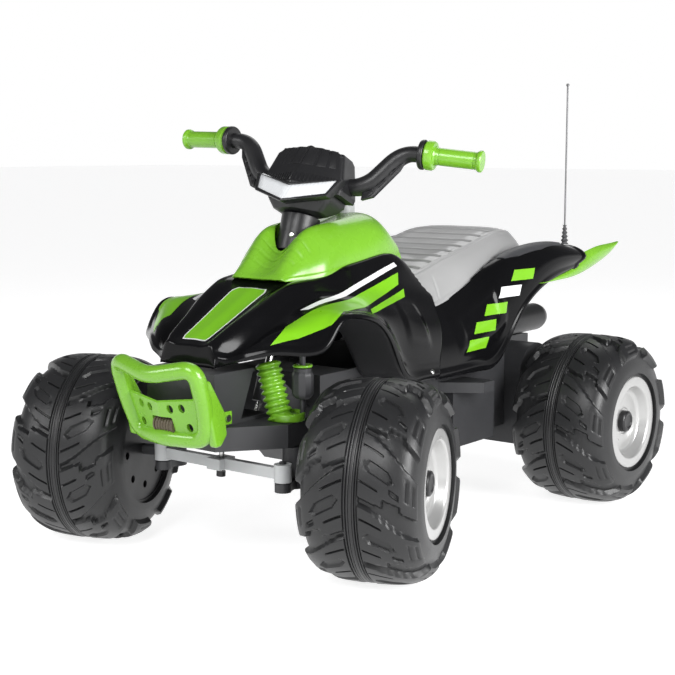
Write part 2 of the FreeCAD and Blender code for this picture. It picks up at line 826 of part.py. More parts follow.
# Steering knuckles with their stub axles
def knuckle(side_name, side):
    along = "x" if side > 0 else "-x"
    name = f"knuckle_{side_name}"
    upright = cylinder(name + "_upright", "knuckle_radius", "knuckle_top - knuckle_low",
                       ("0", "0", "knuckle_low"))
    pin = cylinder(name + "_pin", "kingpin_radius", "kingpin_rise + beam_height / 2",
                   ("0", "0", "knuckle_top - beam_height / 2"))
    stub = cylinder(name + "_stub", "stub_radius", "wheel_offset + axle_overhang",
                    ("0", "0", "tyre_radius"), along)
    arm = block(name + "_arm", "arm_width", "knuckle_arm", "arm_high - arm_low",
                ("-arm_width / 2", "-knuckle_arm", "arm_low"))
    end = ("0", "-knuckle_arm", "arm_low")
    boss = cylinder(name + "_boss", "arm_boss_radius", "arm_high - arm_low", end)
    rod_pin = cylinder(name + "_rod_pin", "arm_pin_radius", "arm_pin_top - arm_low", end)
    return fuse(name, upright, pin, stub, arm, boss, rod_pin)


for side_name, side in SIDES.items():
    node(f"{side_name}_knuckle", knuckle(side_name, side), on_knuckle(side))


# Tie rod: stays parallel to the beam, with an eye for the crank pin in its middle
def tie_rod():
    beam = block("tie_rod_beam", "kingpin_x * 2", "rod_thick", "rod_high - rod_low",
                ("-kingpin_x", "-rod_thick / 2", "rod_low"))
    bosses = [cylinder(f"tie_rod_boss_{name}", "rod_boss_radius", "rod_boss_high - rod_boss_low",
                       (f"{side} * kingpin_x", "0", "rod_boss_low")) for name, side in SIDES.items()]
    eye = block("tie_rod_eye", "crank_eye_radius * 2", "crank_eye_radius * 2 + crank_slot_length",
                "rod_high - rod_low",
                ("-crank_eye_radius", "-crank_eye_radius - crank_slot_length / 2", "rod_low"))
    slack = {"left": "running_gap", "right": "rod_slack"}
    holes = [cylinder(f"tie_rod_hole_{name}", f"arm_pin_radius + {slack[name]}", "rod_boss_high",
                      (f"{side} * kingpin_x", "0", "rod_boss_low / 2")) for name, side in SIDES.items()]
    slot = block("tie_rod_slot", "crank_slot_radius * 2", "crank_slot_length * 2", "rod_high",
                 ("-crank_slot_radius", "-crank_slot_length", "rod_low / 2"))
    return cut("tie_rod", fuse("tie_rod_parts", beam, eye, *bosses), *holes, slot)


rod_swing = Vec(math.sin(math.radians(wheel_steer)), -math.cos(math.radians(wheel_steer)), 0)
node("tie_rod", tie_rod(), on_chassis * Place(rod_swing * sheet.knuckle_arm, Rot()))


# Steering column: a raked rod whose crank pin drops through the tie rod, drawn straight ahead
rake = math.radians(sheet.column_rake)
column_foot = (sheet.column_z - sheet.crank_z) / math.cos(rake)
crank_knee = Vec(0, 0, -column_foot)
crank_back = sheet.column_back - column_foot * math.sin(rake)
crank_ahead = Vec(0, -math.cos(rake), -math.sin(rake)) * (crank_back + sheet.knuckle_arm - sheet.crank_lead)
crank_down = Vec(0, math.sin(rake), -math.cos(rake))


def crank_shape():
    tip = crank_knee + crank_ahead
    top = sheet.bar_low - sheet.bar_radius - sheet.fit_gap
    rod = Part.makeCylinder(sheet.column_radius, top + column_foot, crank_knee)
    arm = Part.makeCylinder(sheet.column_radius, crank_ahead.Length, crank_knee, crank_ahead)
    pin = Part.makeCylinder(sheet.crank_pin_radius, sheet.crank_pin_drop, tip, crank_down)
    balls = [Part.makeSphere(sheet.column_radius, knee) for knee in (crank_knee, tip)]
    return rod.multiFuse([arm, pin] + balls).removeSplitter()


node("steering_column", solid("steering_column", crank_shape()), on_column)
cap_foot = crank_knee + crank_ahead + crank_down * sheet.crank_pin_drop
crank_cap = bar("crank_cap", "crank_cap_radius", "crank_cap_height")
node("crank_cap", crank_cap, on_column * Place(cap_foot, Rot(Vec(0, 0, 1), crank_down)))

sleeve = cut("column_sleeve",
             cylinder("sleeve_outside", "sleeve_radius", "sleeve_top - sleeve_low", ("0", "0", "sleeve_low")),
             cylinder("sleeve_inside", "sleeve_radius - sleeve_wall", "sleeve_radius * 4",
                      ("0", "0", "sleeve_low - sleeve_radius")))
node("column_sleeve", sleeve, on_column)


# Column bush: a bearing sleeve on a bracket at the front wall of the tub
def column_bush():
    along = Vec(0, math.sin(rake), math.cos(rake))
    middle = Vec(0, sheet.column_back, sheet.column_z) - along * sheet.bush_foot
    foot = middle - along * sheet.bush_length / 2
    barrel = Part.makeCylinder(sheet.bush_radius, sheet.bush_length, foot, along)
    depth = sheet.tub_front_back - middle.y
    bracket = Part.makeBox(sheet.bush_radius * 2, depth, sheet.bush_length / 2,
                           Vec(-sheet.bush_radius, middle.y, middle.z - sheet.bush_length / 4))
    bore = Part.makeCylinder(sheet.column_radius + sheet.running_gap, column_foot,
                             middle - along * column_foot / 2, along)
    return barrel.fuse(bracket).cut(bore)


node("column_bush", solid("column_bush", column_bush()))


# Dash: bowl on the sleeve, light bar across its front, hollow cover on top
def vee(half, front, sweep, rear, up):
    """A five-sided plan with a pointed front."""
    return [Vec(0, -front, up), Vec(half, sweep - front, up), Vec(half, rear, up), Vec(-half, rear, up),
            Vec(-half, sweep - front, up)]


bar_points = [Vec(side * x, back, up) for side, x, back, up in (
    (-1, sheet.grip_start, sheet.bar_set_back, sheet.bar_high),
    (-1, sheet.bar_high_reach, sheet.bar_set_back, sheet.bar_high),
    (-1, sheet.bar_low_reach, sheet.bar_low_back, sheet.bar_low),
    (1, sheet.bar_low_reach, sheet.bar_low_back, sheet.bar_low),
    (1, sheet.bar_high_reach, sheet.bar_set_back, sheet.bar_high),
    (1, sheet.grip_start, sheet.bar_set_back, sheet.bar_high),
)]
bar_room = tube(bar_points, sheet.bar_radius + sheet.fit_gap, sheet.bar_bend)


def light_bar(grow=0):
    """A pane bent back and up from its ridge, with its room when grown."""
    def section(x, front, low):
        high = low + sheet.light_height + grow
        back = sheet.light_thick + grow * 2
        return [Vec(x, -front - grow, low - grow), Vec(x, sheet.light_lean - front - grow, high),
                Vec(x, sheet.light_lean - front + back, high), Vec(x, back - front, low - grow)]
    half = sheet.light_half + grow
    end = section(half, sheet.light_end_front, sheet.light_end_low)
    ridge = section(0, sheet.light_ridge_front, sheet.light_ridge_low)
    return lofted_box([[Vec(-p.x, p.y, p.z) for p in end], ridge, end])


light_room = light_bar(sheet.fit_gap)


def dash_bowl():
    wall = sheet.dash_wall
    rim = (sheet.bowl_half, sheet.bowl_front, sheet.bowl_sweep, sheet.dash_rear)
    foot = vee(sheet.bowl_foot_half, sheet.bowl_foot_front, 0, sheet.bowl_foot_rear, sheet.sleeve_top)
    bowl = lofted_box([foot, vee(*rim, sheet.bowl_rim), vee(*rim, sheet.cover_low)])
    inside = (sheet.bowl_half - wall, sheet.bowl_front - wall, sheet.bowl_sweep, sheet.dash_rear - wall)
    room = lofted_box([vee(*inside, up) for up in (sheet.bowl_rim, sheet.cover_top)])
    bore = Part.makeCylinder(sheet.column_radius + sheet.running_gap, sheet.cover_low)
    return bowl.cut(room).cut(bore).cut(light_room)


def dash_cover():
    def outside(inset):
        """The cover's outer shape, drawn in by inset all round."""
        low = vee(sheet.cover_half - inset, sheet.cover_front - inset, sheet.cover_sweep,
                  sheet.dash_rear - inset, sheet.cover_low + sheet.fit_gap - inset)
        top = vee(sheet.cover_top_half - inset, sheet.cover_top_front - inset, sheet.cover_top_sweep,
                  sheet.dash_rear - inset, sheet.cover_top - inset)
        return lofted_box([low, top])
    return outside(0).cut(outside(sheet.dash_wall)).cut(bar_room).cut(light_room)


node("dash_bowl", solid("dash_bowl", dash_bowl()), on_column)
node("light_bar", solid("light_bar", light_bar()), on_column)
node("dash_cover", solid("dash_cover", dash_cover()), on_column)


# Handlebar with a core in each grip
def grip_place(side):
    heading = Vec(side * (sheet.grip_end - sheet.grip_start), sheet.grip_sweep, 0)
    return Place(Vec(side * sheet.grip_start, sheet.bar_set_back, sheet.bar_high), Rot(Vec(0, 0, 1), heading))


def handlebar():
    pieces = []
    core_length = sheet.grip_end - sheet.grip_start - sheet.grip_tip_width
    disc_foot = Vec(0, 0, -sheet.bar_disc_width)
    for side in SIDES.values():
        core = Part.makeCylinder(sheet.bar_core_radius, core_length)
        disc = Part.makeCylinder(sheet.bar_disc_radius, sheet.bar_disc_width, disc_foot)
        for piece in (core, disc):
            piece.Placement = grip_place(side)
            pieces.append(piece)
    return tube(bar_points, sheet.bar_radius, sheet.bar_bend).multiFuse(pieces)


def grip_body(name):
    holder = body(name)
    long = "grip_end - grip_start"
    turned(holder, name, [
        ("bar_core_radius + running_gap", "grip_gap"),
        ("grip_flange_radius", "grip_gap"),
        ("grip_flange_radius", "grip_flange_width"),
        ("grip_radius", "grip_flange_width"),
        ("grip_radius", long + " - grip_tip_width"),
        ("grip_tip_radius", long + " - grip_tip_width"),
        ("grip_tip_radius", long),
        ("0", long),
        ("0", long + " - grip_tip_width + fit_gap"),
        ("bar_core_radius + running_gap", long + " - grip_tip_width + fit_gap"),
    ])
    return holder


node("handlebar", solid("handlebar", handlebar()), on_column)
for side_name, side in SIDES.items():
    node(f"{side_name}_grip", grip_body(f"{side_name}_grip"), on_column * grip_place(side))


# Front bumper: bent tube round a pointed plate with a window, bolted to the frame by two tabs
def bumper_edge(half, back, point, thick, up):
    return [Vec(-half, back, up), Vec(0, back - point, up), Vec(half, back, up), Vec(half, back + thick, up),
            Vec(0, back - point + thick, up), Vec(-half, back + thick, up)]


def at_height(low, high, up):
    """A size between the bumper's low and top corners, in proportion to height."""
    share = (up - sheet.bumper_low_z) / (sheet.bumper_top_z - sheet.bumper_low_z)
    return low + (high - low) * share


BUMPER_HOLE_SHARES = [(0.28, 0.72), (0.56, 0.76), (0.66, 0.3)]


def front_bumper():
    low_z, top_z, point = sheet.bumper_low_z, sheet.bumper_top_z, sheet.bumper_point
    low_left, low_right = (Vec(s * sheet.bumper_low_half, sheet.bumper_low_back, low_z) for s in (-1, 1))
    top_left, top_right = (Vec(s * sheet.bumper_top_half, sheet.bumper_top_back, top_z) for s in (-1, 1))
    dip = Vec(0, sheet.bumper_top_back - point, sheet.bumper_dip_z)
    chin = Vec(0, sheet.bumper_low_back - point, low_z)
    hoop = tube([low_left, top_left, dip, top_right, low_right], sheet.bumper_tube, sheet.bumper_bend)
    sill = tube([low_left, chin, low_right], sheet.bumper_tube, sheet.bumper_bend)
    corners = [Part.makeSphere(sheet.bumper_tube, spot) for spot in (low_left, low_right)]
    window_back = at_height(sheet.bumper_low_back, sheet.bumper_top_back, sheet.window_low)
    window_half = at_height(sheet.bumper_low_half, sheet.bumper_top_half, sheet.window_low)
    thick = sheet.bumper_plate
    plate = lofted_box([
        bumper_edge(sheet.bumper_low_half, sheet.bumper_low_back - thick / 2, point, thick, low_z),
        bumper_edge(window_half, window_back - thick / 2, point, thick, sheet.window_low)])
    brow = [Vec(x, window_back - sheet.cut_overrun * 2, z) for x, z in (
        (-window_half, sheet.window_low), (0, sheet.window_low - sheet.window_dip),
        (window_half, sheet.window_low), (0, sheet.window_low + sheet.window_dip))]
    plate = plate.cut(prism(brow, Vec(0, sheet.cut_overrun * 4, 0)))
    tabs = []
    for side in SIDES.values():
        inner = sheet.beam_front_half + sheet.fit_gap
        x = inner if side > 0 else -inner - sheet.tab_thick
        tabs.append(Part.makeBox(sheet.tab_thick, sheet.tab_end_back - sheet.bumper_low_back,
                                 sheet.tab_height, Vec(x, sheet.bumper_low_back, sheet.tab_low)))
    holes = []
    for along, up in BUMPER_HOLE_SHARES:
        z = low_z + up * (sheet.window_low - low_z)
        for side in SIDES.values():
            spot = Vec(side * along * window_half, window_back - sheet.cut_overrun, z)
            holes.append(Part.makeCylinder(sheet.bumper_hole_radius, sheet.cut_overrun * 4, spot,
                                           Vec(0, 1, 0)))
    slot_half = sheet.winch_length / 2 + sheet.fit_gap
    slot_rise = sheet.winch_radius + sheet.fit_gap
    slot = Part.makeBox(slot_half * 2, sheet.winch_radius * 4, slot_rise * 2,
                        winch_centre - Vec(slot_half, sheet.winch_radius * 2, slot_rise))
    bolts = [Part.makeCylinder(sheet.screw_radius + sheet.running_gap, sheet.cut_overrun * 2,
                               screw_spot(side) - Vec(sheet.cut_overrun, 0, 0), Vec(1, 0, 0))
             for side in SIDES.values()]
    return hoop.multiFuse([sill, plate] + corners + tabs).cut(Part.makeCompound(holes + [slot] + bolts))


winch_centre = Vec(0, sheet.bumper_low_back - sheet.bumper_point + sheet.winch_inset, sheet.winch_z)


def screw_spot(side):
    """Where a bumper screw's head bears on its tab."""
    out = sheet.beam_front_half + sheet.fit_gap + sheet.tab_thick
    return Vec(side * out, sheet.tab_end_back - sheet.tab_height / 2, sheet.tab_low + sheet.tab_height / 2)


def bumper_screws():
    screws = []
    for side in SIDES.values():
        spot = screw_spot(side)
        head = Part.makeCylinder(sheet.screw_head_radius, sheet.screw_head, spot, Vec(side, 0, 0))
        shank = Part.makeCylinder(sheet.screw_radius, sheet.tab_thick + sheet.frame_wall, spot,
                                  Vec(-side, 0, 0))
        screws.append(head.fuse(shank))
    return Part.makeCompound(screws)


node("front_bumper", solid("front_bumper", front_bumper()))
node("bumper_screws", solid("bumper_screws", bumper_screws()))
winch = bar("winch_drum", "winch_radius", "winch_length")
winch_turn = Rot(Vec(0, 0, 1), Vec(1, 0, 0))
node("winch_drum", winch, on_chassis * Place(winch_centre - Vec(sheet.winch_length / 2, 0, 0), winch_turn))


# Suspension dummies: a cup on the beam, a ribbed column leaning inward, a damper beside it
def shock(side_name, side):
    holder = body(f"shock_ribs_{side_name}")
    corners = [("0", "0")]
    for rib in range(int(sheet.shock_ribs)):
        low = f"shock_length * {rib} / shock_ribs"
        high = f"shock_length * ({rib} + 0.5) / shock_ribs"
        corners += [("shock_core", low), ("shock_radius", f"({low} + {high}) / 2"), ("shock_core", high)]
    corners.append(("0", high))
    turned(holder, f"shock_{side_name}", corners)
    lean = Vec(-side * math.sin(math.radians(sheet.shock_lean)), 0, math.cos(math.radians(sheet.shock_lean)))
    start = Vec(side * sheet.shock_x, sheet.shock_back, sheet.beam_low + sheet.beam_height)
    holder.Placement = Place(start, Rot(Vec(0, 0, 1), lean))
    cup = cylinder(f"shock_cup_{side_name}", "shock_cup_radius", "shock_cup_height",
                   (f"{side} * shock_cup_x", "0", "beam_low + beam_height"))
    below = block(f"shock_below_{side_name}", "beam_half_width * 4", "beam_half_width * 2", "beam_height",
                  ("-beam_half_width * 2", "-beam_half_width", "beam_low"))
    beside = block(f"shock_beside_{side_name}", "(beam_front_half + fit_gap) * 2", "beam_half_width * 2",
                   "frame_top", ("-beam_front_half - fit_gap", "-beam_half_width", "beam_low + beam_height"))
    return cut(f"shock_{side_name}", fuse(f"shock_parts_{side_name}", holder, cup), below, beside)


def damper(side_name, side):
    spot = (f"{side} * damper_x", "damper_back")
    rod_low = "beam_low + beam_height + shock_cup_height"
    rod = cylinder(f"damper_rod_{side_name}", "damper_rod_radius", "damper_low - beam_low - beam_height",
                   (*spot, rod_low))
    barrel = cylinder(f"damper_barrel_{side_name}", "damper_radius", "damper_height", (*spot, "damper_low"))
    bolt = cylinder(f"damper_bolt_{side_name}", "damper_rod_radius", "damper_bolt_height",
                    (*spot, "damper_low + damper_height"))
    return fuse(f"damper_{side_name}", rod, barrel, bolt)


for side_name, side in SIDES.items():
    node(f"{side_name}_shock", shock(side_name, side))
    node(f"{side_name}_damper", damper(side_name, side))


# Chassis tub, open on top, with bores for the rear axle
def chassis_tub():
    holder = body("tub_block")
    profile = outline(holder, "tub_side", "YZ_Plane", [
        ("tub_front_back", "tub_low + tub_front_rise"),
        ("tub_front_back", "tub_high"),
        ("tub_rear_back", "tub_high"),
        ("tub_rear_back", "tub_low"),
        ("tub_front_back + tub_front_rise", "tub_low"),
    ])
    padded(holder, "tub", profile, "tub_half * 2", centred=True)
    room = block("tub_room", "(tub_half - tub_wall) * 2",
                 "tub_rear_back - tub_front_back - tub_front_rise - tub_wall", "tub_high",
                 ("tub_wall - tub_half", "tub_front_back + tub_front_rise", "tub_low + tub_wall"))
    bore = cylinder("tub_axle_bore", "axle_radius + running_gap", "rear_track",
                    ("-rear_track / 2", "wheelbase", "tyre_radius"), "x")
    shoulders = block("tub_shoulders", "shoulder_half * 2", "shoulder_rear_back - shoulder_front_back",
                      "tub_high - shoulder_low", ("-shoulder_half", "shoulder_front_back", "shoulder_low"))
    pocket = block("shoulder_room", "(shoulder_half - tub_wall) * 2",
                   "shoulder_rear_back - shoulder_front_back - tub_wall * 2", "tub_high",
                   ("tub_wall - shoulder_half", "shoulder_front_back + tub_wall", "shoulder_low + tub_wall"))
    return cut("chassis_tub", fuse("tub_walls", holder, shoulders), room, pocket, bore)


node("chassis_tub", chassis_tub())

# Rear drive: axle, gearboxes on the tub's sides, motors inside
axle_half = sheet.rear_track / 2 + sheet.axle_overhang
axle = bar("rear_axle", "axle_radius", "rear_track + axle_overhang * 2")
node("rear_axle", axle, on_chassis * Place(Vec(-axle_half, sheet.wheelbase, sheet.tyre_radius), winch_turn))
for side_name, side in SIDES.items():
    along = "x" if side > 0 else "-x"
    wide = "gearbox_half - tub_half"
    drum = cylinder(f"gearbox_drum_{side_name}", "gearbox_radius", wide,
                    (f"{side} * tub_half", "gearbox_back", "gearbox_z"), along)
    case = block(f"gearbox_case_{side_name}", wide, "gearbox_radius * 2", "gearbox_z - gearbox_low",
                 ("tub_half" if side > 0 else "-gearbox_half", "gearbox_back - gearbox_radius",
                  "gearbox_low"))
    bore = cylinder(f"gearbox_bore_{side_name}", "axle_radius + running_gap", "rear_track",
                    ("-rear_track / 2", "wheelbase", "tyre_radius"), "x")
    housing = fuse(f"gearbox_parts_{side_name}", drum, case)
    node(f"{side_name}_gearbox", cut(f"gearbox_{side_name}", housing, bore))
    motor = bar(f"motor_{side_name}", "motor_radius", "motor_length")
    inside = Vec(side * (sheet.tub_half - sheet.tub_wall), sheet.motor_back, sheet.motor_z)
    node(f"{side_name}_motor", motor, on_chassis * Place(inside, Rot(Vec(0, 0, 1), Vec(-side, 0, 0))))
battery = bind(doc.addObject("Part::Box", "battery"), Length="battery_width", Width="battery_length",
               Height="battery_height")
battery_corner = Vec(-sheet.battery_width / 2, sheet.battery_back, sheet.tub_low + sheet.tub_wall)
node("battery", battery, on_chassis * Place(battery_corner, Rot()))


# Footboards on the tub's sides; the right one carries the pedal's hinge ears
def footboard(side_name, side):
    holder = body(f"foot_plate_{side_name}")
    plan = outline(holder, f"foot_plan_{side_name}", "XY_Plane", [
        (f"{side} * shoulder_half", "foot_front_back"),
        (f"{side} * foot_plate_half", "foot_corner_back"),
        (f"{side} * foot_plate_half", "foot_rear_back"),
        (f"{side} * shoulder_half", "foot_rear_back"),
    ])
    padded(holder, f"foot_{side_name}", plan, "foot_plate_thick")
    holder.Placement = Place(Vec(0, 0, sheet.foot_plate_z - sheet.foot_plate_thick), Rot())
    box = block(f"foot_box_{side_name}", "foot_box_half - shoulder_half",
                "foot_box_rear_back - foot_box_front_back",
                "foot_plate_z - foot_plate_thick - foot_box_low",
                ("shoulder_half" if side > 0 else "-foot_box_half", "foot_box_front_back", "foot_box_low"))
    return [holder, box]


ears = [block(f"pedal_ear_{name}", "pedal_ear", "pedal_ear * 3", "pedal_hinge_rise + pedal_ear",
              (f"-pedal_x + {way} * (pedal_width / 2 + fit_gap + pedal_ear / 2) - pedal_ear / 2",
               "pedal_hinge_back - pedal_ear * 1.5", "foot_plate_z")) for name, way in SIDES.items()]
pin_bore = cylinder("pedal_pin_bore", "pedal_pin_radius", "pedal_width * 2",
                    ("-pedal_x - pedal_width", "pedal_hinge_back", "foot_plate_z + pedal_hinge_rise"), "x")
node("left_footboard", fuse("footboard_left", *footboard("left", 1)))
right_board = fuse("footboard_parts", *footboard("right", -1), *ears)
node("right_footboard", cut("footboard_right", right_board, pin_bore))

# Accelerator pedal on its pin, leaning up at the toe
pedal_z = sheet.foot_plate_z + sheet.pedal_hinge_rise
pedal_at = Place(Vec(-sheet.pedal_x, sheet.pedal_hinge_back, pedal_z), Rot())
pedal_plate = block("pedal_plate", "pedal_width", "pedal_length", "pedal_thick",
                    ("-pedal_width / 2", "-pedal_length", "-pedal_thick / 2"))
pedal_barrel = cylinder("pedal_barrel", "pedal_pin_radius * 2", "pedal_width",
                        ("-pedal_width / 2", "0", "0"), "x")
pedal_bore = cylinder("pedal_bore", "pedal_pin_radius + running_gap", "pedal_width * 2",
                      ("-pedal_width", "0", "0"), "x")
pedal = cut("accelerator_pedal", fuse("pedal_parts", pedal_plate, pedal_barrel), pedal_bore)
node("accelerator_pedal", pedal, on_chassis * pedal_at * Place(Vec(), Rot(Vec(1, 0, 0), -sheet.pedal_lean)))
pedal_pin = bar("pedal_pin", "pedal_pin_radius", "pedal_width + (fit_gap + pedal_ear) * 2")
pin_half = sheet.pedal_width / 2 + sheet.fit_gap + sheet.pedal_ear
node("pedal_pin", pedal_pin, on_chassis * pedal_at * Place(Vec(-pin_half, 0, 0), winch_turn))

# Body shells
front_sizes = (sheet.front_body_back, sheet.front_body_length, sheet.front_body_half, sheet.front_body_low,
               sheet.front_body_height)
rear_sizes = (sheet.rear_body_back, sheet.rear_body_length, sheet.rear_body_half, sheet.rear_body_low,
              sheet.rear_body_height)
seat_sizes = (sheet.seat_back, sheet.seat_length, sheet.seat_half, sheet.seat_low, sheet.seat_height)
cowl_sizes = (sheet.cowl_back, sheet.cowl_length, sheet.cowl_half, sheet.cowl_low, sheet.cowl_height)
column_line = Vec(0, math.sin(rake), math.cos(rake))
column_spot = Vec(0, sheet.column_back, sheet.column_z)


def seam_side(ahead, gap):
    """All that lies ahead of, or behind, the raked seam between the front and rear bodies."""
    lean = (sheet.seam_high_back - sheet.seam_low_back) / (sheet.seam_high - sheet.seam_low)
    top = sheet.seam_high + sheet.rear_body_height
    low = sheet.seam_low - sheet.rear_body_height
    far = -sheet.wheelbase if ahead else sheet.wheelbase * 2
    wide = sheet.rear_track

    def seam_at(up):
        return sheet.seam_low_back + (up - sheet.seam_low) * lean + gap
    corners = [Vec(-wide, seam_at(low), low), Vec(-wide, far, low), Vec(-wide, far, top),
               Vec(-wide, seam_at(top), top)]
    return prism(corners, Vec(wide * 2, 0, 0))


def posts(shape, spots, foot):
    """Round posts from a foot height up to the underside of a shell."""
    made = []
    for x, back in spots:
        tall = underside(shape, x, back) - foot + sheet.body_wall / 2
        made.append(Part.makeCylinder(sheet.post_radius, tall, Vec(x, back, foot)))
    return made


def crossings(shape, x, back):
    line = Part.makeLine(Vec(x, back, 0), Vec(x, back, sheet.aerial_top))
    return sorted(v.Point.z for v in shape.common(line).Vertexes)


def underside(shape, x, back):
    return crossings(shape, x, back)[-2]


def top_of(shape, x, back):
    return crossings(shape, x, back)[-1]


front_post_x = sheet.shoulder_half - sheet.tub_wall / 2
rear_post_back = sheet.tub_rear_back - sheet.tub_wall / 2
seat_under = filled(SEAT_SHARES, seat_sizes, sheet.fit_gap, sheet.seat_wall)
seat_over = seat_under.translated(Vec(0, 0, sheet.seat_headroom))


def column_notch():
    """A raked slot with round ends, for the turning column."""
    reach = sheet.notch_half - sheet.notch_radius
    depth = sheet.column_z * 2
    foot = column_spot - column_line * sheet.column_z
    ends = [Part.makeCylinder(sheet.notch_radius, depth, foot + Vec(s * reach, 0, 0), column_line)
            for s in SIDES.values()]
    across = Vec(0, column_line.z, -column_line.y) * sheet.notch_radius
    corners = [foot + Vec(reach, 0, 0) + across, foot + Vec(reach, 0, 0) - across,
               foot - Vec(reach, 0, 0) - across, foot - Vec(reach, 0, 0) + across]
    return prism(corners, column_line * depth).multiFuse(ends)


column_room = column_notch()


def front_body():
    skin = shell(FRONT_BODY_SHARES, front_sizes, sheet.body_wall, capped_ends=(0,))
    skin = skin.cut(seam_side(False, 0)).cut(seat_under).cut(seat_over)
    pegs = posts(skin, [(s * front_post_x, sheet.post_front_back) for s in (1, -1)], sheet.tub_high)
    return skin.multiFuse(pegs).cut(column_room)


def fin_outline(side, grow):
    """The blade's side outline, widened by grow."""
    shares = [(0, 0), (0.19, 0.03), (0.39, 0.07), (0.59, 0.235), (0.8, 0.515), (0.91, 0.73), (1, 1),
              (0.87, 0.95), (0.7, 0.925), (0.53, 0.92), (0.37, 0.87)]
    x = side * sheet.fin_x - sheet.fin_thick / 2 - grow
    long = sheet.fin_tip_back - sheet.fin_start_back
    tall = sheet.fin_tip_z - sheet.fin_low
    corners = [Vec(x, sheet.fin_start_back + a * long, sheet.fin_low + u * tall) for a, u in shares]
    blade = prism(corners, Vec(sheet.fin_thick + grow * 2, 0, 0))
    return blade.makeOffsetShape(grow, sheet.fit_gap / 100) if grow else blade


def rear_body():
    skin = shell(REAR_BODY_SHARES, rear_sizes, sheet.body_wall, capped_ends=(len(REAR_BODY_SHARES) - 1,))
    notch = Part.makeBox(sheet.tail_notch_half * 2, sheet.rear_body_length, sheet.rear_body_height * 2,
                         Vec(-sheet.tail_notch_half, sheet.tail_notch_back, sheet.rear_body_low))
    skin = skin.cut(seam_side(True, sheet.fit_gap)).cut(seat_under).cut(seat_over).cut(notch)
    pegs = posts(skin, [(s * sheet.rear_post_x, rear_post_back) for s in (1, -1)], sheet.tub_high)
    radius = sheet.aerial_foot_radius
    rim = [top_of(skin, sheet.aerial_x + dx * radius, sheet.aerial_back + dy * radius)
           for dx, dy in ((1, 0), (-1, 0), (0, 1), (0, -1))]
    foot = Vec(sheet.aerial_x, sheet.aerial_back, min(rim) - sheet.body_wall / 2)
    boss = Part.makeCylinder(radius, max(rim) - foot.z, foot)
    fins = Part.makeCompound([fin_outline(s, sheet.fit_gap) for s in SIDES.values()])
    return skin.multiFuse(pegs + [boss]).cut(fins)


def seat():
    return shell(SEAT_SHARES, seat_sizes, sheet.seat_wall, capped_ends=(0, len(SEAT_SHARES) - 1))


def cowl():
    skin = shell(COWL_SHARES, cowl_sizes, sheet.cowl_wall, capped_ends=(0, len(COWL_SHARES) - 1))
    spots = [(s * sheet.cowl_post_x, sheet.cowl_post_back) for s in (1, -1)]
    rim = [top_of(front_skin, spots[0][0] + dx * sheet.post_radius, spots[0][1] + dy * sheet.post_radius)
           for dx, dy in ((1, 0), (-1, 0), (0, 1), (0, -1))]
    pegs = posts(skin, spots, max(rim) + sheet.fit_gap)
    filler_seat = Part.makeCylinder(sheet.filler_radius + sheet.fit_gap, sheet.cowl_height,
                                    Vec(0, sheet.filler_back, top_of(skin, 0, sheet.filler_back)))
    return skin.multiFuse(pegs).cut(column_room).cut(filler_seat)


front_skin = front_body()
rear_skin = rear_body()
cowl_skin = cowl()
node("front_body", solid("front_body", front_skin))
node("rear_body", solid("rear_body", rear_skin))
node("seat", solid("seat", seat()))
node("tank_cowl", solid("tank_cowl", cowl_skin))
filler_z = top_of(cowl_skin, 0, sheet.filler_back)
filler = bar("filler_cap", "filler_radius", "filler_height")
node("filler_cap", filler, on_chassis * Place(Vec(0, sheet.filler_back, filler_z + sheet.fit_gap), Rot()))

# Tail fins and mufflers
for side_name, side in SIDES.items():
    node(f"{side_name}_tail_fin", solid(f"{side_name}_tail_fin", fin_outline(side, 0)))
    pipe = cylinder(f"muffler_pipe_{side_name}", "muffler_radius", "muffler_end_back - muffler_start_back",
                    (f"{side} * muffler_x", "muffler_start_back", "muffler_z"), "y")
    tip = bind(doc.addObject("Part::Cone", f"muffler_tip_{side_name}"), Radius1="muffler_radius",
               Radius2="muffler_tip_radius", Height="muffler_tip_length")
    tip.Placement = Place(Vec(), Rot(Vec(0, 0, 1), AXES["y"]))
    move_to(tip, (f"{side} * muffler_x", "muffler_end_back", "muffler_z"))
    saddle = block(f"muffler_saddle_{side_name}", "muffler_radius", "muffler_radius * 2",
                   "muffler_z - tub_high", (f"{side} * (tub_half - tub_wall) - muffler_radius / 2",
                                            "muffler_start_back + muffler_radius", "tub_high"))
    node(f"{side_name}_muffler", fuse(f"muffler_{side_name}", pipe, tip, saddle))


# Aerial: a ribbed foot on the left horn and a thin whip
def aerial_foot():
    holder = body("aerial_foot")
    corners = [("0", "0"), ("aerial_foot_radius", "0")]
    for rib in range(1, int(sheet.aerial_ribs) + 1):
        taper = f"aerial_foot_radius * (1 - {rib} / aerial_ribs / 2)"
        low = f"aerial_foot_height * ({rib} - 0.5) / aerial_ribs"
        high = f"aerial_foot_height * {rib} / aerial_ribs"
        corners += [(taper + " * 0.6", low), (taper, high)]
    corners.append(("0", "aerial_foot_height"))
    turned(holder, "aerial_foot", corners)
    return holder


aerial_z = top_of(rear_skin, sheet.aerial_x, sheet.aerial_back) + sheet.fit_gap
aerial_at = on_chassis * Place(Vec(sheet.aerial_x, sheet.aerial_back, aerial_z), Rot())
node("aerial_foot", aerial_foot(), aerial_at)
whip_length = f"aerial_top - {aerial_z} - aerial_foot_height"
whip = bar("whip", "whip_radius", whip_length)
tip = bind(doc.addObject("Part::Sphere", "whip_tip"), Radius="whip_tip_radius")
move_to(tip, ("0", "0", whip_length + " - whip_tip_radius / 2"))
node("aerial_whip", fuse("aerial_whip", whip, tip),
     aerial_at * Place(Vec(0, 0, sheet.aerial_foot_height), Rot()))

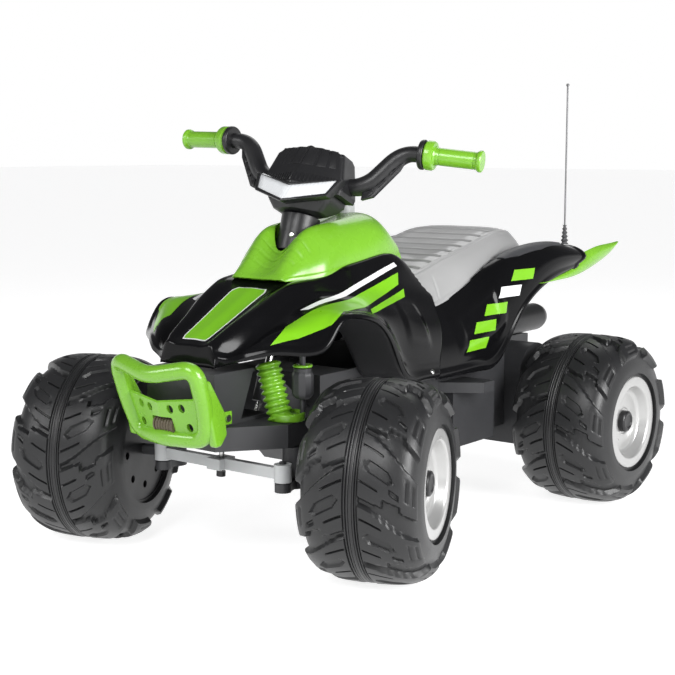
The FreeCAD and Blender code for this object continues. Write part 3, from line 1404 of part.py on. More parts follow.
doc.recompute()
failed = [thing.Label for thing in doc.Objects if {"Invalid", "Error"} & set(thing.State)]
if failed:
    raise RuntimeError(f"failed to build: {failed}")
os.makedirs("parts", exist_ok=True)
for label, thing in NODES.items():
    shape = thing.Shape
    if shape.isNull() or not shape.isValid():
        raise RuntimeError(f"{label} has no valid shape")
    shape.exportStep(f"parts/{label}.step")
print(len(NODES), "sub-parts")
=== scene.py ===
# %% [markdown]
# A child's quad bike, dressed around its CAD frame. The solids give every size and every joint, so this
# lesson only adds what moulded plastic shows close up: crowned shells, tread, ribs, stickers and sheen.
# Each step says what the piece is, how it could be made, and why it is made this way here.

# %% Load the frame
import json
import math

import bmesh
import bpy
import numpy as np
from mathutils import Matrix, Vector
from mathutils.bvhtree import BVHTree

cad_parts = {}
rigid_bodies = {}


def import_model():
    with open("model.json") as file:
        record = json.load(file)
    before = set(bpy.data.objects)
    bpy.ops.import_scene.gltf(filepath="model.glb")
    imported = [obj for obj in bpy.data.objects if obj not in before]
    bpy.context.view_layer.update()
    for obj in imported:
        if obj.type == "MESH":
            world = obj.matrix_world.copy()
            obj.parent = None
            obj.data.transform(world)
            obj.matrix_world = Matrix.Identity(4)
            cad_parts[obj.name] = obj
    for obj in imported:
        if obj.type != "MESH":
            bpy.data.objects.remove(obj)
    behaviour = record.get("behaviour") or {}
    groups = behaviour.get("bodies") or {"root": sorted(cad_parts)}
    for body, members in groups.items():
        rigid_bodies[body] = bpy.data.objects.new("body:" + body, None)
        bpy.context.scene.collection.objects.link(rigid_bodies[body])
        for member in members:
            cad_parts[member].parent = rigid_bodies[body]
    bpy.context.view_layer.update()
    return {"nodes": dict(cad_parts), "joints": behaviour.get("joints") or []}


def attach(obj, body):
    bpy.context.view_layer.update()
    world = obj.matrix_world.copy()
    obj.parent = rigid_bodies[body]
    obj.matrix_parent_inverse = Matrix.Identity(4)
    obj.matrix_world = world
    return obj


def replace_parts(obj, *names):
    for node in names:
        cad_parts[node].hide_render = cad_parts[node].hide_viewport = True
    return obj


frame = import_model()
cad = frame["nodes"]
joints = {j["name"]: j for j in frame["joints"]}

# %% [markdown]
# The photograph was taken from the front left, a little above the handlebar, with a long lens. The
# camera comes first, because every later piece is seen through it.

# %% Camera
KINGPIN_Y = joints["left_kingpin"]["pos_m"][1]
EYE_LEFT, EYE_AHEAD, EYE_UP = 1.6121, 1.7771, 0.7154
LOOK_DOWN, LOOK_ROUND = 7.76, 37.82
LENS_MM, SENSOR_MM = 74.33, 36
eye = bpy.data.objects.new("camera", bpy.data.cameras.new("camera"))
eye.location = (EYE_LEFT, KINGPIN_Y - EYE_AHEAD, EYE_UP)
eye.rotation_euler = (math.radians(90 - LOOK_DOWN), 0, math.radians(LOOK_ROUND))
eye.data.lens = LENS_MM
eye.data.sensor_width = SENSOR_MM
bpy.context.scene.collection.objects.link(eye)
bpy.context.scene.camera = eye
print("camera at", tuple(round(c, 3) for c in eye.location))

# %% [markdown]
# Three places are used again and again: the raked steering column at its rest angle, the four hubs with
# their outward direction, and the chassis, where lengths are counted back from the line of the kingpins.
# All of them are read from the joints, so they can't drift away from the solids.

# %% Places
REST_STEER = math.radians(11.1)
steer_axis = Vector(joints["steer"]["axis"])
rake = math.atan2(steer_axis.y, steer_axis.z)
column = (Matrix.Translation(joints["steer"]["pos_m"]) @ Matrix.Rotation(-rake, 4, "X")
          @ Matrix.Rotation(REST_STEER, 4, "Z"))
chassis = Matrix.Translation((0, KINGPIN_Y, 0))
ALONG_X = Matrix.Rotation(math.pi / 2, 4, "Y")
SIDES = (("left", 1), ("right", -1))


def hub_place(joint_name):
    """A hub's frame: X out of the vehicle along the axle, Z up."""
    hub = Vector(joints[joint_name]["pos_m"])
    out = Vector(joints[joint_name]["axis"]) * (1 if hub.x > 0 else -1)
    turn = Matrix((out, Vector((0, 0, 1)).cross(out), Vector((0, 0, 1)))).transposed()
    return Matrix.Translation(hub) @ turn.to_4x4()


def on_chassis(x, y, z):
    """A place on the chassis, in metres from the floor below the line of the kingpins."""
    return chassis @ Matrix.Translation((x, y, z))


def pointed(way):
    """A turn that points Z along a way."""
    return Vector(way).to_track_quat("Z", "Y").to_matrix().to_4x4()


WHEELS = {f"{end}_{side}": hub_place(f"{end}_{side}_spin")
          for end in ("front", "rear") for side, _ in SIDES}
print("hubs:", {k: tuple(round(c, 3) for c in m.translation) for k, m in WHEELS.items()})

# %% [markdown]
# Nearly everything on this toy is moulded plastic, so one recipe makes most finishes: a colour that
# drifts a little, a gloss that varies as it does on a worn tool, and a fine grain from the mould. Shiny
# mouldings get a clear coat. Numbers that never change sit on the shader's own sockets.


# %% Plastic finishes
def moulded(name, colour, rough, grain=900.0, depth=0.06, coat=0.0, drift=0.12, metal=0.0, shine=0.5):
    """A moulded plastic with drifting colour, uneven gloss and mould grain."""
    material = bpy.data.materials.new(name)
    material.use_nodes = True
    tree = material.node_tree
    link = tree.links.new
    shader = tree.nodes["Principled BSDF"]
    spot = tree.nodes.new("ShaderNodeTexCoord")

    def noise(scale, detail):
        node = tree.nodes.new("ShaderNodeTexNoise")
        node.inputs["Scale"].default_value = scale
        node.inputs["Detail"].default_value = detail
        link(spot.outputs["Object"], node.inputs["Vector"])
        return node.outputs["Fac"]
    ramp = tree.nodes.new("ShaderNodeValToRGB")
    for stop, place, change in zip(ramp.color_ramp.elements, (0.3, 0.7), (-drift, drift)):
        stop.position = place
        stop.color = [min(1, c * (1 + change)) for c in colour] + [1]
    link(noise(scale=7, detail=3), ramp.inputs["Fac"])
    link(ramp.outputs["Color"], shader.inputs["Base Color"])
    gloss = tree.nodes.new("ShaderNodeMapRange")
    gloss.inputs["To Min"].default_value = max(0.02, rough - 0.07)
    gloss.inputs["To Max"].default_value = rough + 0.09
    link(noise(scale=34, detail=5), gloss.inputs["Value"])
    link(gloss.outputs["Result"], shader.inputs["Roughness"])
    bump = tree.nodes.new("ShaderNodeBump")
    bump.inputs["Strength"].default_value = depth
    bump.inputs["Distance"].default_value = 0.001
    link(noise(scale=grain, detail=2), bump.inputs["Height"])
    link(bump.outputs["Normal"], shader.inputs["Normal"])
    shader.inputs["Coat Weight"].default_value = coat
    shader.inputs["Coat Roughness"].default_value = 0.08
    shader.inputs["Metallic"].default_value = metal
    shader.inputs["Specular IOR Level"].default_value = shine
    return material


gloss_black = moulded("gloss_black", (0.0035, 0.0035, 0.004), 0.14, 500, 0.015, coat=0.12, shine=0.15)
lime = moulded("lime", (0.155, 0.385, 0.02), 0.26, 500, 0.03, coat=0.35, drift=0.06)
saddle_grey = moulded("saddle_grey", (0.3, 0.3, 0.3), 0.32, 1500, 0.08, coat=0.4, drift=0.05)
tyre_black = moulded("tyre_black", (0.014, 0.0142, 0.015), 0.36, 1100, 0.12, shine=0.45)
satin_black = moulded("satin_black", (0.011, 0.011, 0.012), 0.34, 1200, 0.08, shine=0.45)
frame_grey = moulded("frame_grey", (0.034, 0.0345, 0.037), 0.42, 1300, 0.12, shine=0.45)
rim_silver = moulded("rim_silver", (0.46, 0.46, 0.455), 0.3, 800, 0.05, coat=0.2, drift=0.07, metal=0.55)
rod_grey = moulded("rod_grey", (0.46, 0.47, 0.475), 0.4, 1100, 0.08, drift=0.06)
winch_brown = moulded("winch_brown", (0.085, 0.066, 0.038), 0.5, 900, 0.2)
horn_grey = moulded("horn_grey", (0.045, 0.046, 0.05), 0.42, 1500, 0.14)
aerial_grey = moulded("aerial_grey", (0.16, 0.16, 0.165), 0.34, 900, 0.05, metal=0.6)
zinc = moulded("zinc", (0.62, 0.62, 0.61), 0.24, 700, 0.08, drift=0.1, metal=1.0)
vinyl_lime = moulded("vinyl_lime", (0.16, 0.44, 0.006), 0.3, 700, 0.02, coat=0.3, drift=0.04)
vinyl_white = moulded("vinyl_white", (0.72, 0.73, 0.73), 0.3, 700, 0.02, coat=0.3, drift=0.03)
print(len(bpy.data.materials), "finishes so far")

# %% [markdown]
# The lamp is a clear pane over a white reflector. Its fine upright flutes are a wave texture, used as
# relief, so the pane reads as a lens and not as a white bar.

# %% Lamp pane
lamp_white = moulded("lamp_white", (0.6, 0.61, 0.62), 0.18, 600, 0.03, coat=0.8, drift=0.02)
lamp_tree = lamp_white.node_tree
flutes = lamp_tree.nodes.new("ShaderNodeTexWave")
flutes.inputs["Scale"].default_value = 55
flutes.inputs["Distortion"].default_value = 0.4
lamp_tree.links.new(lamp_tree.nodes["Texture Coordinate"].outputs["Object"], flutes.inputs["Vector"])
lamp_tree.links.new(flutes.outputs["Fac"], lamp_tree.nodes["Bump"].inputs["Height"])
lamp_tree.nodes["Bump"].inputs["Strength"].default_value = 0.25
lamp_shader = lamp_tree.nodes["Principled BSDF"]
lamp_shader.inputs["Emission Color"].default_value = (0.9, 0.95, 1, 1)
lamp_shader.inputs["Emission Strength"].default_value = 0.12
print("lamp pane ready")

# %% [markdown]
# A few helpers carry most of the lesson. One hangs a mesh on a CAD body: it cleans the mesh, shades it smooth
# but keeps its hard edges, and gives it the finish of its slot. Another turns a profile round an axis, which
# is the natural way to make rims, caps, grips and mufflers.


# %% Mesh helpers
MM = 0.001
DRESS = {"tyre_plastic": tyre_black, "rim_silver": rim_silver, "wheel_black": satin_black,
         "body_black": gloss_black, "lime": lime, "saddle_grey": saddle_grey, "frame_dark": frame_grey,
         "dash_black": satin_black, "lamp_white": lamp_white, "rod_grey": rod_grey, "steel": zinc,
         "winch_brown": winch_brown, "battery_case": satin_black}


def raw(points, faces):
    """A bare mesh from points in metres and faces."""
    mesh = bpy.data.meshes.new("raw")
    mesh.from_pydata([tuple(p) for p in points], [], [tuple(f) for f in faces])
    return mesh


def hang(name, mesh, body, slot, place=None, crease=40, material=None):
    """Sets a mesh in its place, cleans and shades it, and hangs it on a body.

    Edges sharper than crease stay hard. It wears its slot's finish, unless it is given one of its own."""
    if place is not None:
        mesh.transform(place)
    mesh.name = name
    tidy = bmesh.new()
    tidy.from_mesh(mesh)
    bmesh.ops.remove_doubles(tidy, verts=tidy.verts, dist=1e-6)
    bmesh.ops.recalc_face_normals(tidy, faces=tidy.faces)
    tidy.to_mesh(mesh)
    tidy.free()
    mesh.shade_smooth()
    mesh.set_sharp_from_angle(angle=math.radians(crease))
    mesh.materials.clear()
    mesh.materials.append(material or DRESS[slot])
    obj = bpy.data.objects.new(name, mesh)
    bpy.context.scene.collection.objects.link(obj)
    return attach(obj, body)


def whole_turn(count):
    """Evenly spaced angles round a full turn."""
    return np.linspace(0, 2 * math.pi, count, endpoint=False)


def round_faces(steps, count):
    """Faces of a grid of points that closes on itself both ways."""
    return [(i * count + j, (i + 1) % steps * count + j, (i + 1) % steps * count + (j + 1) % count,
             i * count + (j + 1) % count) for i in range(steps) for j in range(count)]


def turned(profile, steps=48):
    """A mesh of a closed profile, (radius, height) in mm, turned about Z."""
    points = [(r * MM * math.cos(a), r * MM * math.sin(a), h * MM)
              for a in whole_turn(steps) for r, h in profile]
    return raw(points, round_faces(steps, len(profile)))


def curve(first, middle, last, steps):
    """A smooth bend from one point to another, drawn toward the one between them."""
    return [first * (1 - t) ** 2 + middle * (2 * t * (1 - t)) + last * t ** 2
            for t in (k / steps for k in range(steps + 1))]


def divided(start, stop, cuts):
    """Evenly spaced points from a start to just before a stop."""
    return [tuple(a + (b - a) * k / cuts for a, b in zip(start, stop)) for k in range(cuts)]


def softened(profile, radius, turns=3):
    """A closed profile with every corner rounded off by a few short steps."""
    out = []
    spots = [Vector((r, h)) for r, h in profile]
    for before, here, after in zip(spots[-1:] + spots[:-1], spots, spots[1:] + spots[:1]):
        into, away = (before - here), (after - here)
        if here.x < 1e-6:
            out.append(tuple(here))
            continue
        reach = min(radius, into.length * 0.45, away.length * 0.45)
        first, last = here + into.normalized() * reach, here + away.normalized() * reach
        out += [tuple(spot) for spot in curve(first, here, last, turns)]
    return out


print("helpers ready")

# %% [markdown]
# The tyre is blow-moulded in hard plastic: a narrow seam band with fine grooves, and two rows of big swept
# lugs with sipes and pockets. It could be a plain ring with lugs joined on, but real lugs melt into the
# carcass. Here the skin is one grid of points whose lines lean with the lugs, so every edge of the relief
# falls on a grid line and stays crisp, and a height field lifts the lugs from it.


# %% Tyre skin
LUGS = 9
LUG_HEIGHT = 8.9 * MM
TREAD_ARC, SEAM_ARC = 0.101, 0.0135
PROFILE = np.array([(0, 161), (28, 160.2), (55.6, 157.7), (73, 152.5), (84.8, 145.4), (92.5, 135.5),
                    (97, 123.2), (100, 111), (101, 98.6)]) * MM
BEAD = ((94, 98.6), (94, 93), (84, 92.7), (-84, 92.7), (-94, 93), (-94, 98.6))


def spline(knots, values, at):
    """A natural cubic spline through rows of values, read at many places."""
    knots, values, at = np.asarray(knots, float), np.asarray(values, float), np.asarray(at, float)
    n = len(knots)
    h = np.diff(knots)
    rows = np.eye(n)
    right = np.zeros_like(values)
    for i in range(1, n - 1):
        rows[i, i - 1:i + 2] = h[i - 1], 2 * (h[i - 1] + h[i]), h[i]
        right[i] = 6 * ((values[i + 1] - values[i]) / h[i] - (values[i] - values[i - 1]) / h[i - 1])
    bend = np.linalg.solve(rows, right.reshape(n, -1)).reshape(values.shape)
    i = np.clip(np.searchsorted(knots, at) - 1, 0, n - 2)
    wide = h[i].reshape((-1,) + (1,) * (values.ndim - 1))
    a = (knots[i + 1] - at).reshape(wide.shape) / wide
    b = 1 - a
    return (a * values[i] + b * values[i + 1]
            + ((a ** 3 - a) * bend[i] + (b ** 3 - b) * bend[i + 1]) * wide ** 2 / 6)


def ease(low, high, x):
    """A smooth step from 0 to 1 between low and high."""
    t = np.clip((x - low) / (high - low), 0, 1)
    return t * t * (3 - 2 * t)


def bell(x, middle, width):
    """A soft bump of height one."""
    return np.exp(-((x - middle) / width) ** 2)


def band(x, low, high, soft):
    """One inside low to high, with soft shoulders."""
    return ease(low - soft, low + soft, x) * (1 - ease(high - soft, high + soft, x))


def tread_height(lug, over):
    """The tread's height as a share of a lug's: lug is -0.5 to 0.5 round it, over is 0 seam to 1 shoulder."""
    half = 0.46 - 0.14 * ease(0.2, 1.0, over)
    trailing = half - 0.1 * band(over, 0.5, 0.76, 0.012)
    stand = ease(-half - 0.02, -half + 0.03, lug) * (1 - ease(trailing - 0.03, trailing + 0.02, lug))
    stand = stand * (1 - ease(1.0, 1.07, over))
    sipes = ((1 - ease(0.006, 0.016, np.abs(lug + 0.27))) * band(over, 0.14, 0.48, 0.01)
             + (1 - ease(0.006, 0.016, np.abs(lug - 0.22))) * band(over, 0.14, 0.42, 0.01))
    reach = 0.088 * np.clip((0.24 - np.abs(over - 0.42)) / 0.1, 0, 1)
    pocket = (1 - ease(reach - 0.016, reach, np.abs(lug + 0.03))) * (reach > 0.017)
    notch = band(lug, 0.1, 0.17, 0.01) * band(over, 0.6, 0.72, 0.012)
    bars = band(lug, -0.2, 0.12, 0.02) * (band(over, 0.82, 0.86, 0.01) + band(over, 0.92, 0.96, 0.01))
    lugs = stand * np.clip(1 - 0.5 * sipes - 0.5 * pocket - 0.55 * notch - 0.3 * bars, 0, 1)
    seam = 0.9 - 0.16 * bell(over, 0.028, 0.007) - 0.3 * bell(over, 0.07, 0.008)
    floor = 0.62 * (1 - ease(0.115, 0.14, over))
    middle = seam * (1 - ease(0.098, 0.108, over))
    return np.maximum(np.maximum(middle, lugs * ease(0.112, 0.124, over)), floor)


def lean(over):
    """How far a lug has swept round, in lug pitches, at a place over the tread."""
    return -0.08 + 0.25 * over + 0.3 * over ** 2


arc = np.concatenate([[0], np.cumsum(np.hypot(*np.diff(PROFILE, axis=0).T))])
half_arc = np.concatenate([np.linspace(0, SEAM_ARC, 20)[:-1], np.linspace(SEAM_ARC, arc[-1], 50)])
half_line = spline(arc, PROFILE, half_arc)
slope = np.gradient(half_line, half_arc, axis=0)
stand_way = np.stack([-slope[:, 1], slope[:, 0]], axis=1)
edges = [-0.5, -0.48, -0.455, -0.43, -0.405, -0.38, -0.355, -0.33, -0.305, -0.288, -0.277, -0.263, -0.252,
         -0.23, -0.205, -0.18, -0.155, -0.13, -0.117, -0.1, -0.08, -0.05, -0.02, 0.01, 0.04, 0.058, 0.075,
         0.09, 0.105, 0.125, 0.145, 0.165, 0.18, 0.202, 0.213, 0.227, 0.238, 0.255, 0.275, 0.3, 0.325, 0.35,
         0.375, 0.4, 0.425, 0.45, 0.475]
turns = np.concatenate([np.array(edges) + k for k in range(LUGS)])
rings = []
for side in (-1, 1):
    order = slice(None, 0, -1) if side < 0 else slice(None)
    lug = turns if side > 0 else turns - 0.5
    lug = lug - np.floor(lug + 0.5)
    for place, way, along in zip(half_line[order], stand_way[order], half_arc[order]):
        height = tread_height(lug, along / TREAD_ARC) * LUG_HEIGHT
        turn = (turns + lean(along / TREAD_ARC)) / LUGS * 2 * math.pi
        rings.append((side * (place[0] + way[0] * height), place[1] + way[1] * height, turn))
for x, r in BEAD:
    rings.append((np.full(len(turns), x * MM), np.full(len(turns), r * MM), rings[-1][2]))
tyre_points = np.stack([np.stack([x, r * np.cos(a), r * np.sin(a)], 1) for x, r, a in rings], 1)
tyre_points = tyre_points.reshape(-1, 3)
tyre_faces = round_faces(len(turns), len(rings))
for wheel, place in WHEELS.items():
    tyre = hang(f"tyre_{wheel}", raw(tyre_points, tyre_faces), f"{wheel}_wheel", "tyre_plastic", place, 34)
    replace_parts(tyre, f"{wheel}_tyre")
print("tyre skin:", len(tyre_faces), "faces, radius",
      round(float(max(r.max() for _, r, _ in rings)) / MM, 1), "mm")

# %% [markdown]
# The rim is one pale disc: a flat ring with short slots, a dish, and rhombic holes round the hub. The
# disc is turned on the lathe and the holes are cut through it with prisms, as a punch would do. The black
# cap in its middle hides the end of the axle.


# %% Rim and hub cap
def applied(mesh, kind, **settings):
    """A mesh as one modifier leaves it."""
    obj = bpy.data.objects.new("blank", mesh)
    bpy.context.scene.collection.objects.link(obj)
    tool = obj.modifiers.new("tool", kind)
    for key, value in settings.items():
        setattr(tool, key, value)
    bpy.context.view_layer.update()
    result = bpy.data.meshes.new_from_object(obj.evaluated_get(bpy.context.evaluated_depsgraph_get()))
    bpy.data.objects.remove(obj)
    return result


def punched(mesh, cutters):
    """Cuts joined prisms out of a mesh and returns what is left."""
    punch = bpy.data.objects.new("punch", cutters)
    bpy.context.scene.collection.objects.link(punch)
    result = applied(mesh, "BOOLEAN", operation="DIFFERENCE", object=punch, solver="EXACT")
    bpy.data.objects.remove(punch)
    return result


def prisms(outlines, low, high):
    """One mesh of upright prisms over flat outlines, in mm."""
    points, faces = [], []
    for line in outlines:
        base, n = len(points), len(line)
        points += [(x * MM, y * MM, z * MM) for z in (low, high) for x, y in line]
        faces += [tuple(base + k for k in reversed(range(n))), tuple(base + n + k for k in range(n))]
        faces += [(base + k, base + (k + 1) % n, base + n + (k + 1) % n, base + n + k) for k in range(n)]
    return raw(points, faces)


RIM = [(11, 73), (26, 73), (28, 76), (57, 74), (64, 78), (71, 94), (74, 96.5), (91, 96.5), (92.6, 94),
       (92.6, 88), (72, 88), (60, 68), (24, 66), (24, 40), (11, 40)]
CAP = [(0, 73), (21.5, 73), (21.5, 84), (18, 87), (14, 87), (12.5, 85.2), (0, 84.6)]
HOLE = ((35, 0), (44, 0.16), (54, 0), (44, -0.16))
SLOT = ((80.5, -0.1), (80.5, 0), (80.5, 0.1), (85.5, 0.1), (85.5, 0), (85.5, -0.1))
holes = [[(r * math.cos(a + off), r * math.sin(a + off)) for r, off in shape]
         for shape, count in ((HOLE, 9), (SLOT, 12)) for a in whole_turn(count)]
rim_mesh = punched(turned(softened(RIM, 2.2), 120), prisms(holes, 30, 120))
for wheel, place in WHEELS.items():
    rim = hang(f"rim_{wheel}", rim_mesh.copy(), f"{wheel}_wheel", "rim_silver", place @ ALONG_X, 35)
    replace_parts(rim, f"{wheel}_rim")
    cap = hang(f"hub_cap_{wheel}", turned(softened(CAP, 1.6), 56), f"{wheel}_wheel", "wheel_black",
               place @ ALONG_X, 50)
    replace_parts(cap, f"{wheel}_hub_cap")
print("rim:", len(rim_mesh.polygons), "faces after punching")

# %% [markdown]
# The body shells are thin mouldings, crowned in both directions. Each is described by a few cross sections
# that a maker would draw: five or six points from the ridge of the section down to its lip. A spline runs
# through them both ways, so light slides over the surface without a step.


# %% Lofted shells
ACROSS = np.linspace(-1, 1, 141)
SEAT_WALL, BODY_WALL = 4.5, 3.5
SEAM_GAP, SEAM_FOOT_BACK, SEAM_FOOT_UP, SEAM_SLOPE = 0.6, 342, 300, 70 / 123


def loft(table, back, length, half, low, height, across, rows=400):
    """A mirrored shell as a fine grid in metres: rows run back, columns from the right lip to the left."""
    along = np.linspace(0, 1, rows)
    knots = np.array([[(x * half, low + z * height) for x, z in row[1]] for row in table]) * MM
    sections = spline([row[0] for row in table], knots, along)
    whole = np.concatenate([sections[:, :0:-1] * (-1, 1), sections], axis=1)
    chord = np.linalg.norm(np.diff(whole, axis=1), axis=2).mean(axis=0)
    place = np.concatenate([[0], np.cumsum(chord)])
    place = (place - place[-1] / 2) / (place[-1] / 2)
    flat = spline(place, whole.transpose(1, 0, 2), across).transpose(1, 0, 2)
    y = np.broadcast_to((back + along[:, None] * length) * MM, flat.shape[:2])
    reach = len(knots[0]) - 1
    station = np.abs(np.interp(across, place, np.arange(-reach, reach + 1)))
    return np.stack([flat[..., 0], y, flat[..., 1]], axis=2), station


def between(grid, start, stop, rows):
    """Takes each column of a grid from its start share to its stop share, in evenly spaced rows."""
    t = np.linspace(0, 1, rows)[:, None]
    place = (start + (stop - start) * t) * (len(grid) - 1)
    i = np.clip(place.astype(int), 0, len(grid) - 2)
    part = (place - i)[..., None]
    column_of = np.arange(grid.shape[1])[None, :]
    return grid[i, column_of] * (1 - part) + grid[i + 1, column_of] * part


def unit(v):
    """Directions of length one."""
    return v / np.maximum(np.linalg.norm(v, axis=-1, keepdims=True), 1e-12)


def outward(grid):
    """The outward direction at every point of a shell's grid."""
    n = unit(np.cross(np.gradient(grid, axis=1), np.gradient(grid, axis=0)))
    return n if n[len(n) // 2, n.shape[1] // 2, 2] > 0 else -n


def quads(rows, columns, base=0, flip=False):
    """Faces of a grid of points."""
    out = []
    for i in range(rows - 1):
        for j in range(columns - 1):
            a = base + i * columns + j
            face = (a, a + 1, a + columns + 1, a + columns)
            out.append(face[::-1] if flip else face)
    return out


def closed_shell(outer, inner):
    """A mesh of the wall between two grids, with its edge rounded over."""
    middle, reach = (outer + inner) / 2, np.linalg.norm(outer - inner, axis=2, keepdims=True) / 2
    edge = np.pad(middle, ((1, 1), (1, 1), (0, 0)), mode="edge")
    edge[0, 1:-1] += unit(middle[0] - middle[1]) * reach[0]
    edge[-1, 1:-1] += unit(middle[-1] - middle[-2]) * reach[-1]
    edge[1:-1, 0] += unit(middle[:, 0] - middle[:, 1]) * reach[:, 0]
    edge[1:-1, -1] += unit(middle[:, -1] - middle[:, -2]) * reach[:, -1]
    top, bottom = edge.copy(), edge.copy()
    top[1:-1, 1:-1], bottom[1:-1, 1:-1] = outer, inner
    rows, columns = top.shape[:2]
    points = np.concatenate([top.reshape(-1, 3), bottom.reshape(-1, 3)])
    return raw(points, quads(rows, columns) + quads(rows, columns, rows * columns, True))


def from_lip(grid):
    """How far each point lies from the nearer side lip, in mm over the surface."""
    run = np.linalg.norm(np.diff(grid, axis=1), axis=2)
    run = np.concatenate([np.zeros((len(grid), 1)), np.cumsum(run, axis=1)], axis=1)
    return np.minimum(run, run[:, -1:] - run) / MM


def seam_back(z):
    """Where the slanting seam between front and rear body runs at a height, in mm behind the kingpins."""
    return SEAM_FOOT_BACK + (z - SEAM_FOOT_UP) * SEAM_SLOPE


def seam_share(grid, back, length, gap):
    """The share of each column at which it meets the seam."""
    share = np.full(grid.shape[1], 0.8)
    for _ in range(30):
        z = np.array([np.interp(s, np.linspace(0, 1, len(grid)), grid[:, j, 2])
                      for j, s in enumerate(share)])
        share = np.clip((seam_back(z / MM) + gap - back) / length, 0, 1)
    return share


def curtain(edge, low, out):
    """Rows that carry the end of a shell down to a height, bulging outward on the way."""
    made = []
    for t in (0.08, 0.2, 0.36, 0.52, 0.68, 0.84, 1):
        row = edge.copy()
        row[:, 1] += out * MM * math.sin(t * math.pi / 2)
        row[:, 2] += (np.minimum(edge[:, 2], low * MM) - edge[:, 2]) * t
        made.append(row)
    return np.array(made)


def skins(grid, rise, wall, press=None):
    """A shell's outer skin, lifted from its grid by a field in mm, and its inner skin one wall below."""
    n = outward(grid)
    outer, under = grid + n * rise[..., None] * MM, grid
    if press:
        outer, under = press(outer), press(under)
    return outer, under - n * wall * MM


print("loft helpers ready")

# %% [markdown]
# The seat comes first, because both bodies tuck under it. It is a hard grey moulding that only looks
# upholstered: a flat top with broad ribs across it, a crisp crease along each edge, and flaps that hang
# down at the sides. The ribs are cut as narrow grooves, so the pads between them stay flat.

# %% Seat
SEAT = [
    (0, [(0, 0.467), (0.4, 0.459), (0.6, 0.4), (0.743, 0.274), (0.829, 0.141)]),
    (0.106, [(0, 0.511), (0.443, 0.511), (0.7, 0.467), (0.871, 0.237), (0.95, 0)]),
    (0.231, [(0, 0.615), (0.443, 0.615), (0.714, 0.578), (0.893, 0.319), (0.971, 0.067)]),
    (0.441, [(0, 0.763), (0.443, 0.763), (0.721, 0.726), (0.914, 0.489), (0.993, 0.237)]),
    (0.63, [(0, 0.904), (0.443, 0.904), (0.721, 0.867), (0.914, 0.659), (0.986, 0.437)]),
    (0.769, [(0, 0.993), (0.443, 0.993), (0.707, 0.948), (0.879, 0.77), (0.964, 0.556)]),
    (0.875, [(0, 1), (0.443, 0.993), (0.693, 0.941), (0.85, 0.763), (0.929, 0.607)]),
    (0.958, [(0, 0.889), (0.429, 0.881), (0.657, 0.837), (0.793, 0.726), (0.864, 0.615)]),
    (1, [(0, 0.711), (0.414, 0.711), (0.629, 0.689), (0.743, 0.652), (0.814, 0.607)])]
seat_grid, station = loft(SEAT, back=374, length=424, half=140, low=415, height=135,
                          across=np.linspace(-1, 1, 181))
seat_grid = between(seat_grid, 0.0, 1.0, 200)
seat_grid = np.concatenate([seat_grid, curtain(seat_grid[-1], 492, 3)])
back_mm, lip = seat_grid[..., 1] / MM, from_lip(seat_grid)
FIRST_RIB, RIB_PITCH = 432, 36
rib = (back_mm - FIRST_RIB) / RIB_PITCH
on_top = (1 - ease(1.82, 1.92, station)) * band(back_mm, 424, 730, 4)
rise = -3.2 * (1 - ease(0.04, 0.15, np.abs(rib - np.round(rib)))) * on_top
rise = rise + 2.4 * np.clip(1 - np.abs(station - 2) / 0.3, 0, 1) * band(back_mm, 400, 770, 14)
rise = rise - 2.6 * bell(station, 2.06, 0.035) * band(back_mm, 404, 768, 10)
rise = rise + 1.6 * (1 - ease(5, 10, lip)) - 1.5 * bell(back_mm, 447, 2.5) * band(station, 2.5, 3.7, 0.2)
seat = hang("seat_shell", closed_shell(*skins(seat_grid, rise, SEAT_WALL)), "chassis", "saddle_grey",
            chassis, 60)
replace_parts(seat, "seat")
print("seat:", len(seat.data.polygons), "faces")

# %% [markdown]
# The front body is one glossy black moulding: nose, bonnet between two rounded ridges, fenders with a
# rolled lip, and sides that end on a slanting seam. The ridges, the lip and the side panel are too fine for
# the section table, so a field lifts them from the crowned surface along its own normals.


# %% Front body
def tree_of(points, faces):
    """A search tree for casting rays at a mesh."""
    return BVHTree.FromPolygons([tuple(p) for p in points], faces)


SEAT_HALF, SEAT_FRONT, SEAT_REAR, TUCK = 0.145, 0.36, 0.82, 8 * MM
seat_tree = tree_of(seat_grid.reshape(-1, 3), quads(*seat_grid.shape[:2]))


def under_seat(grid):
    """Presses a shell's grid down wherever the seat covers it."""
    pressed = grid.copy()
    for spot in pressed.reshape(-1, 3):
        if abs(spot[0]) < SEAT_HALF and SEAT_FRONT < spot[1] < SEAT_REAR:
            hit = seat_tree.ray_cast(Vector((spot[0], spot[1], 1)), Vector((0, 0, -1)))[0]
            if hit is not None:
                spot[2] = min(spot[2], hit.z - TUCK)
    return pressed


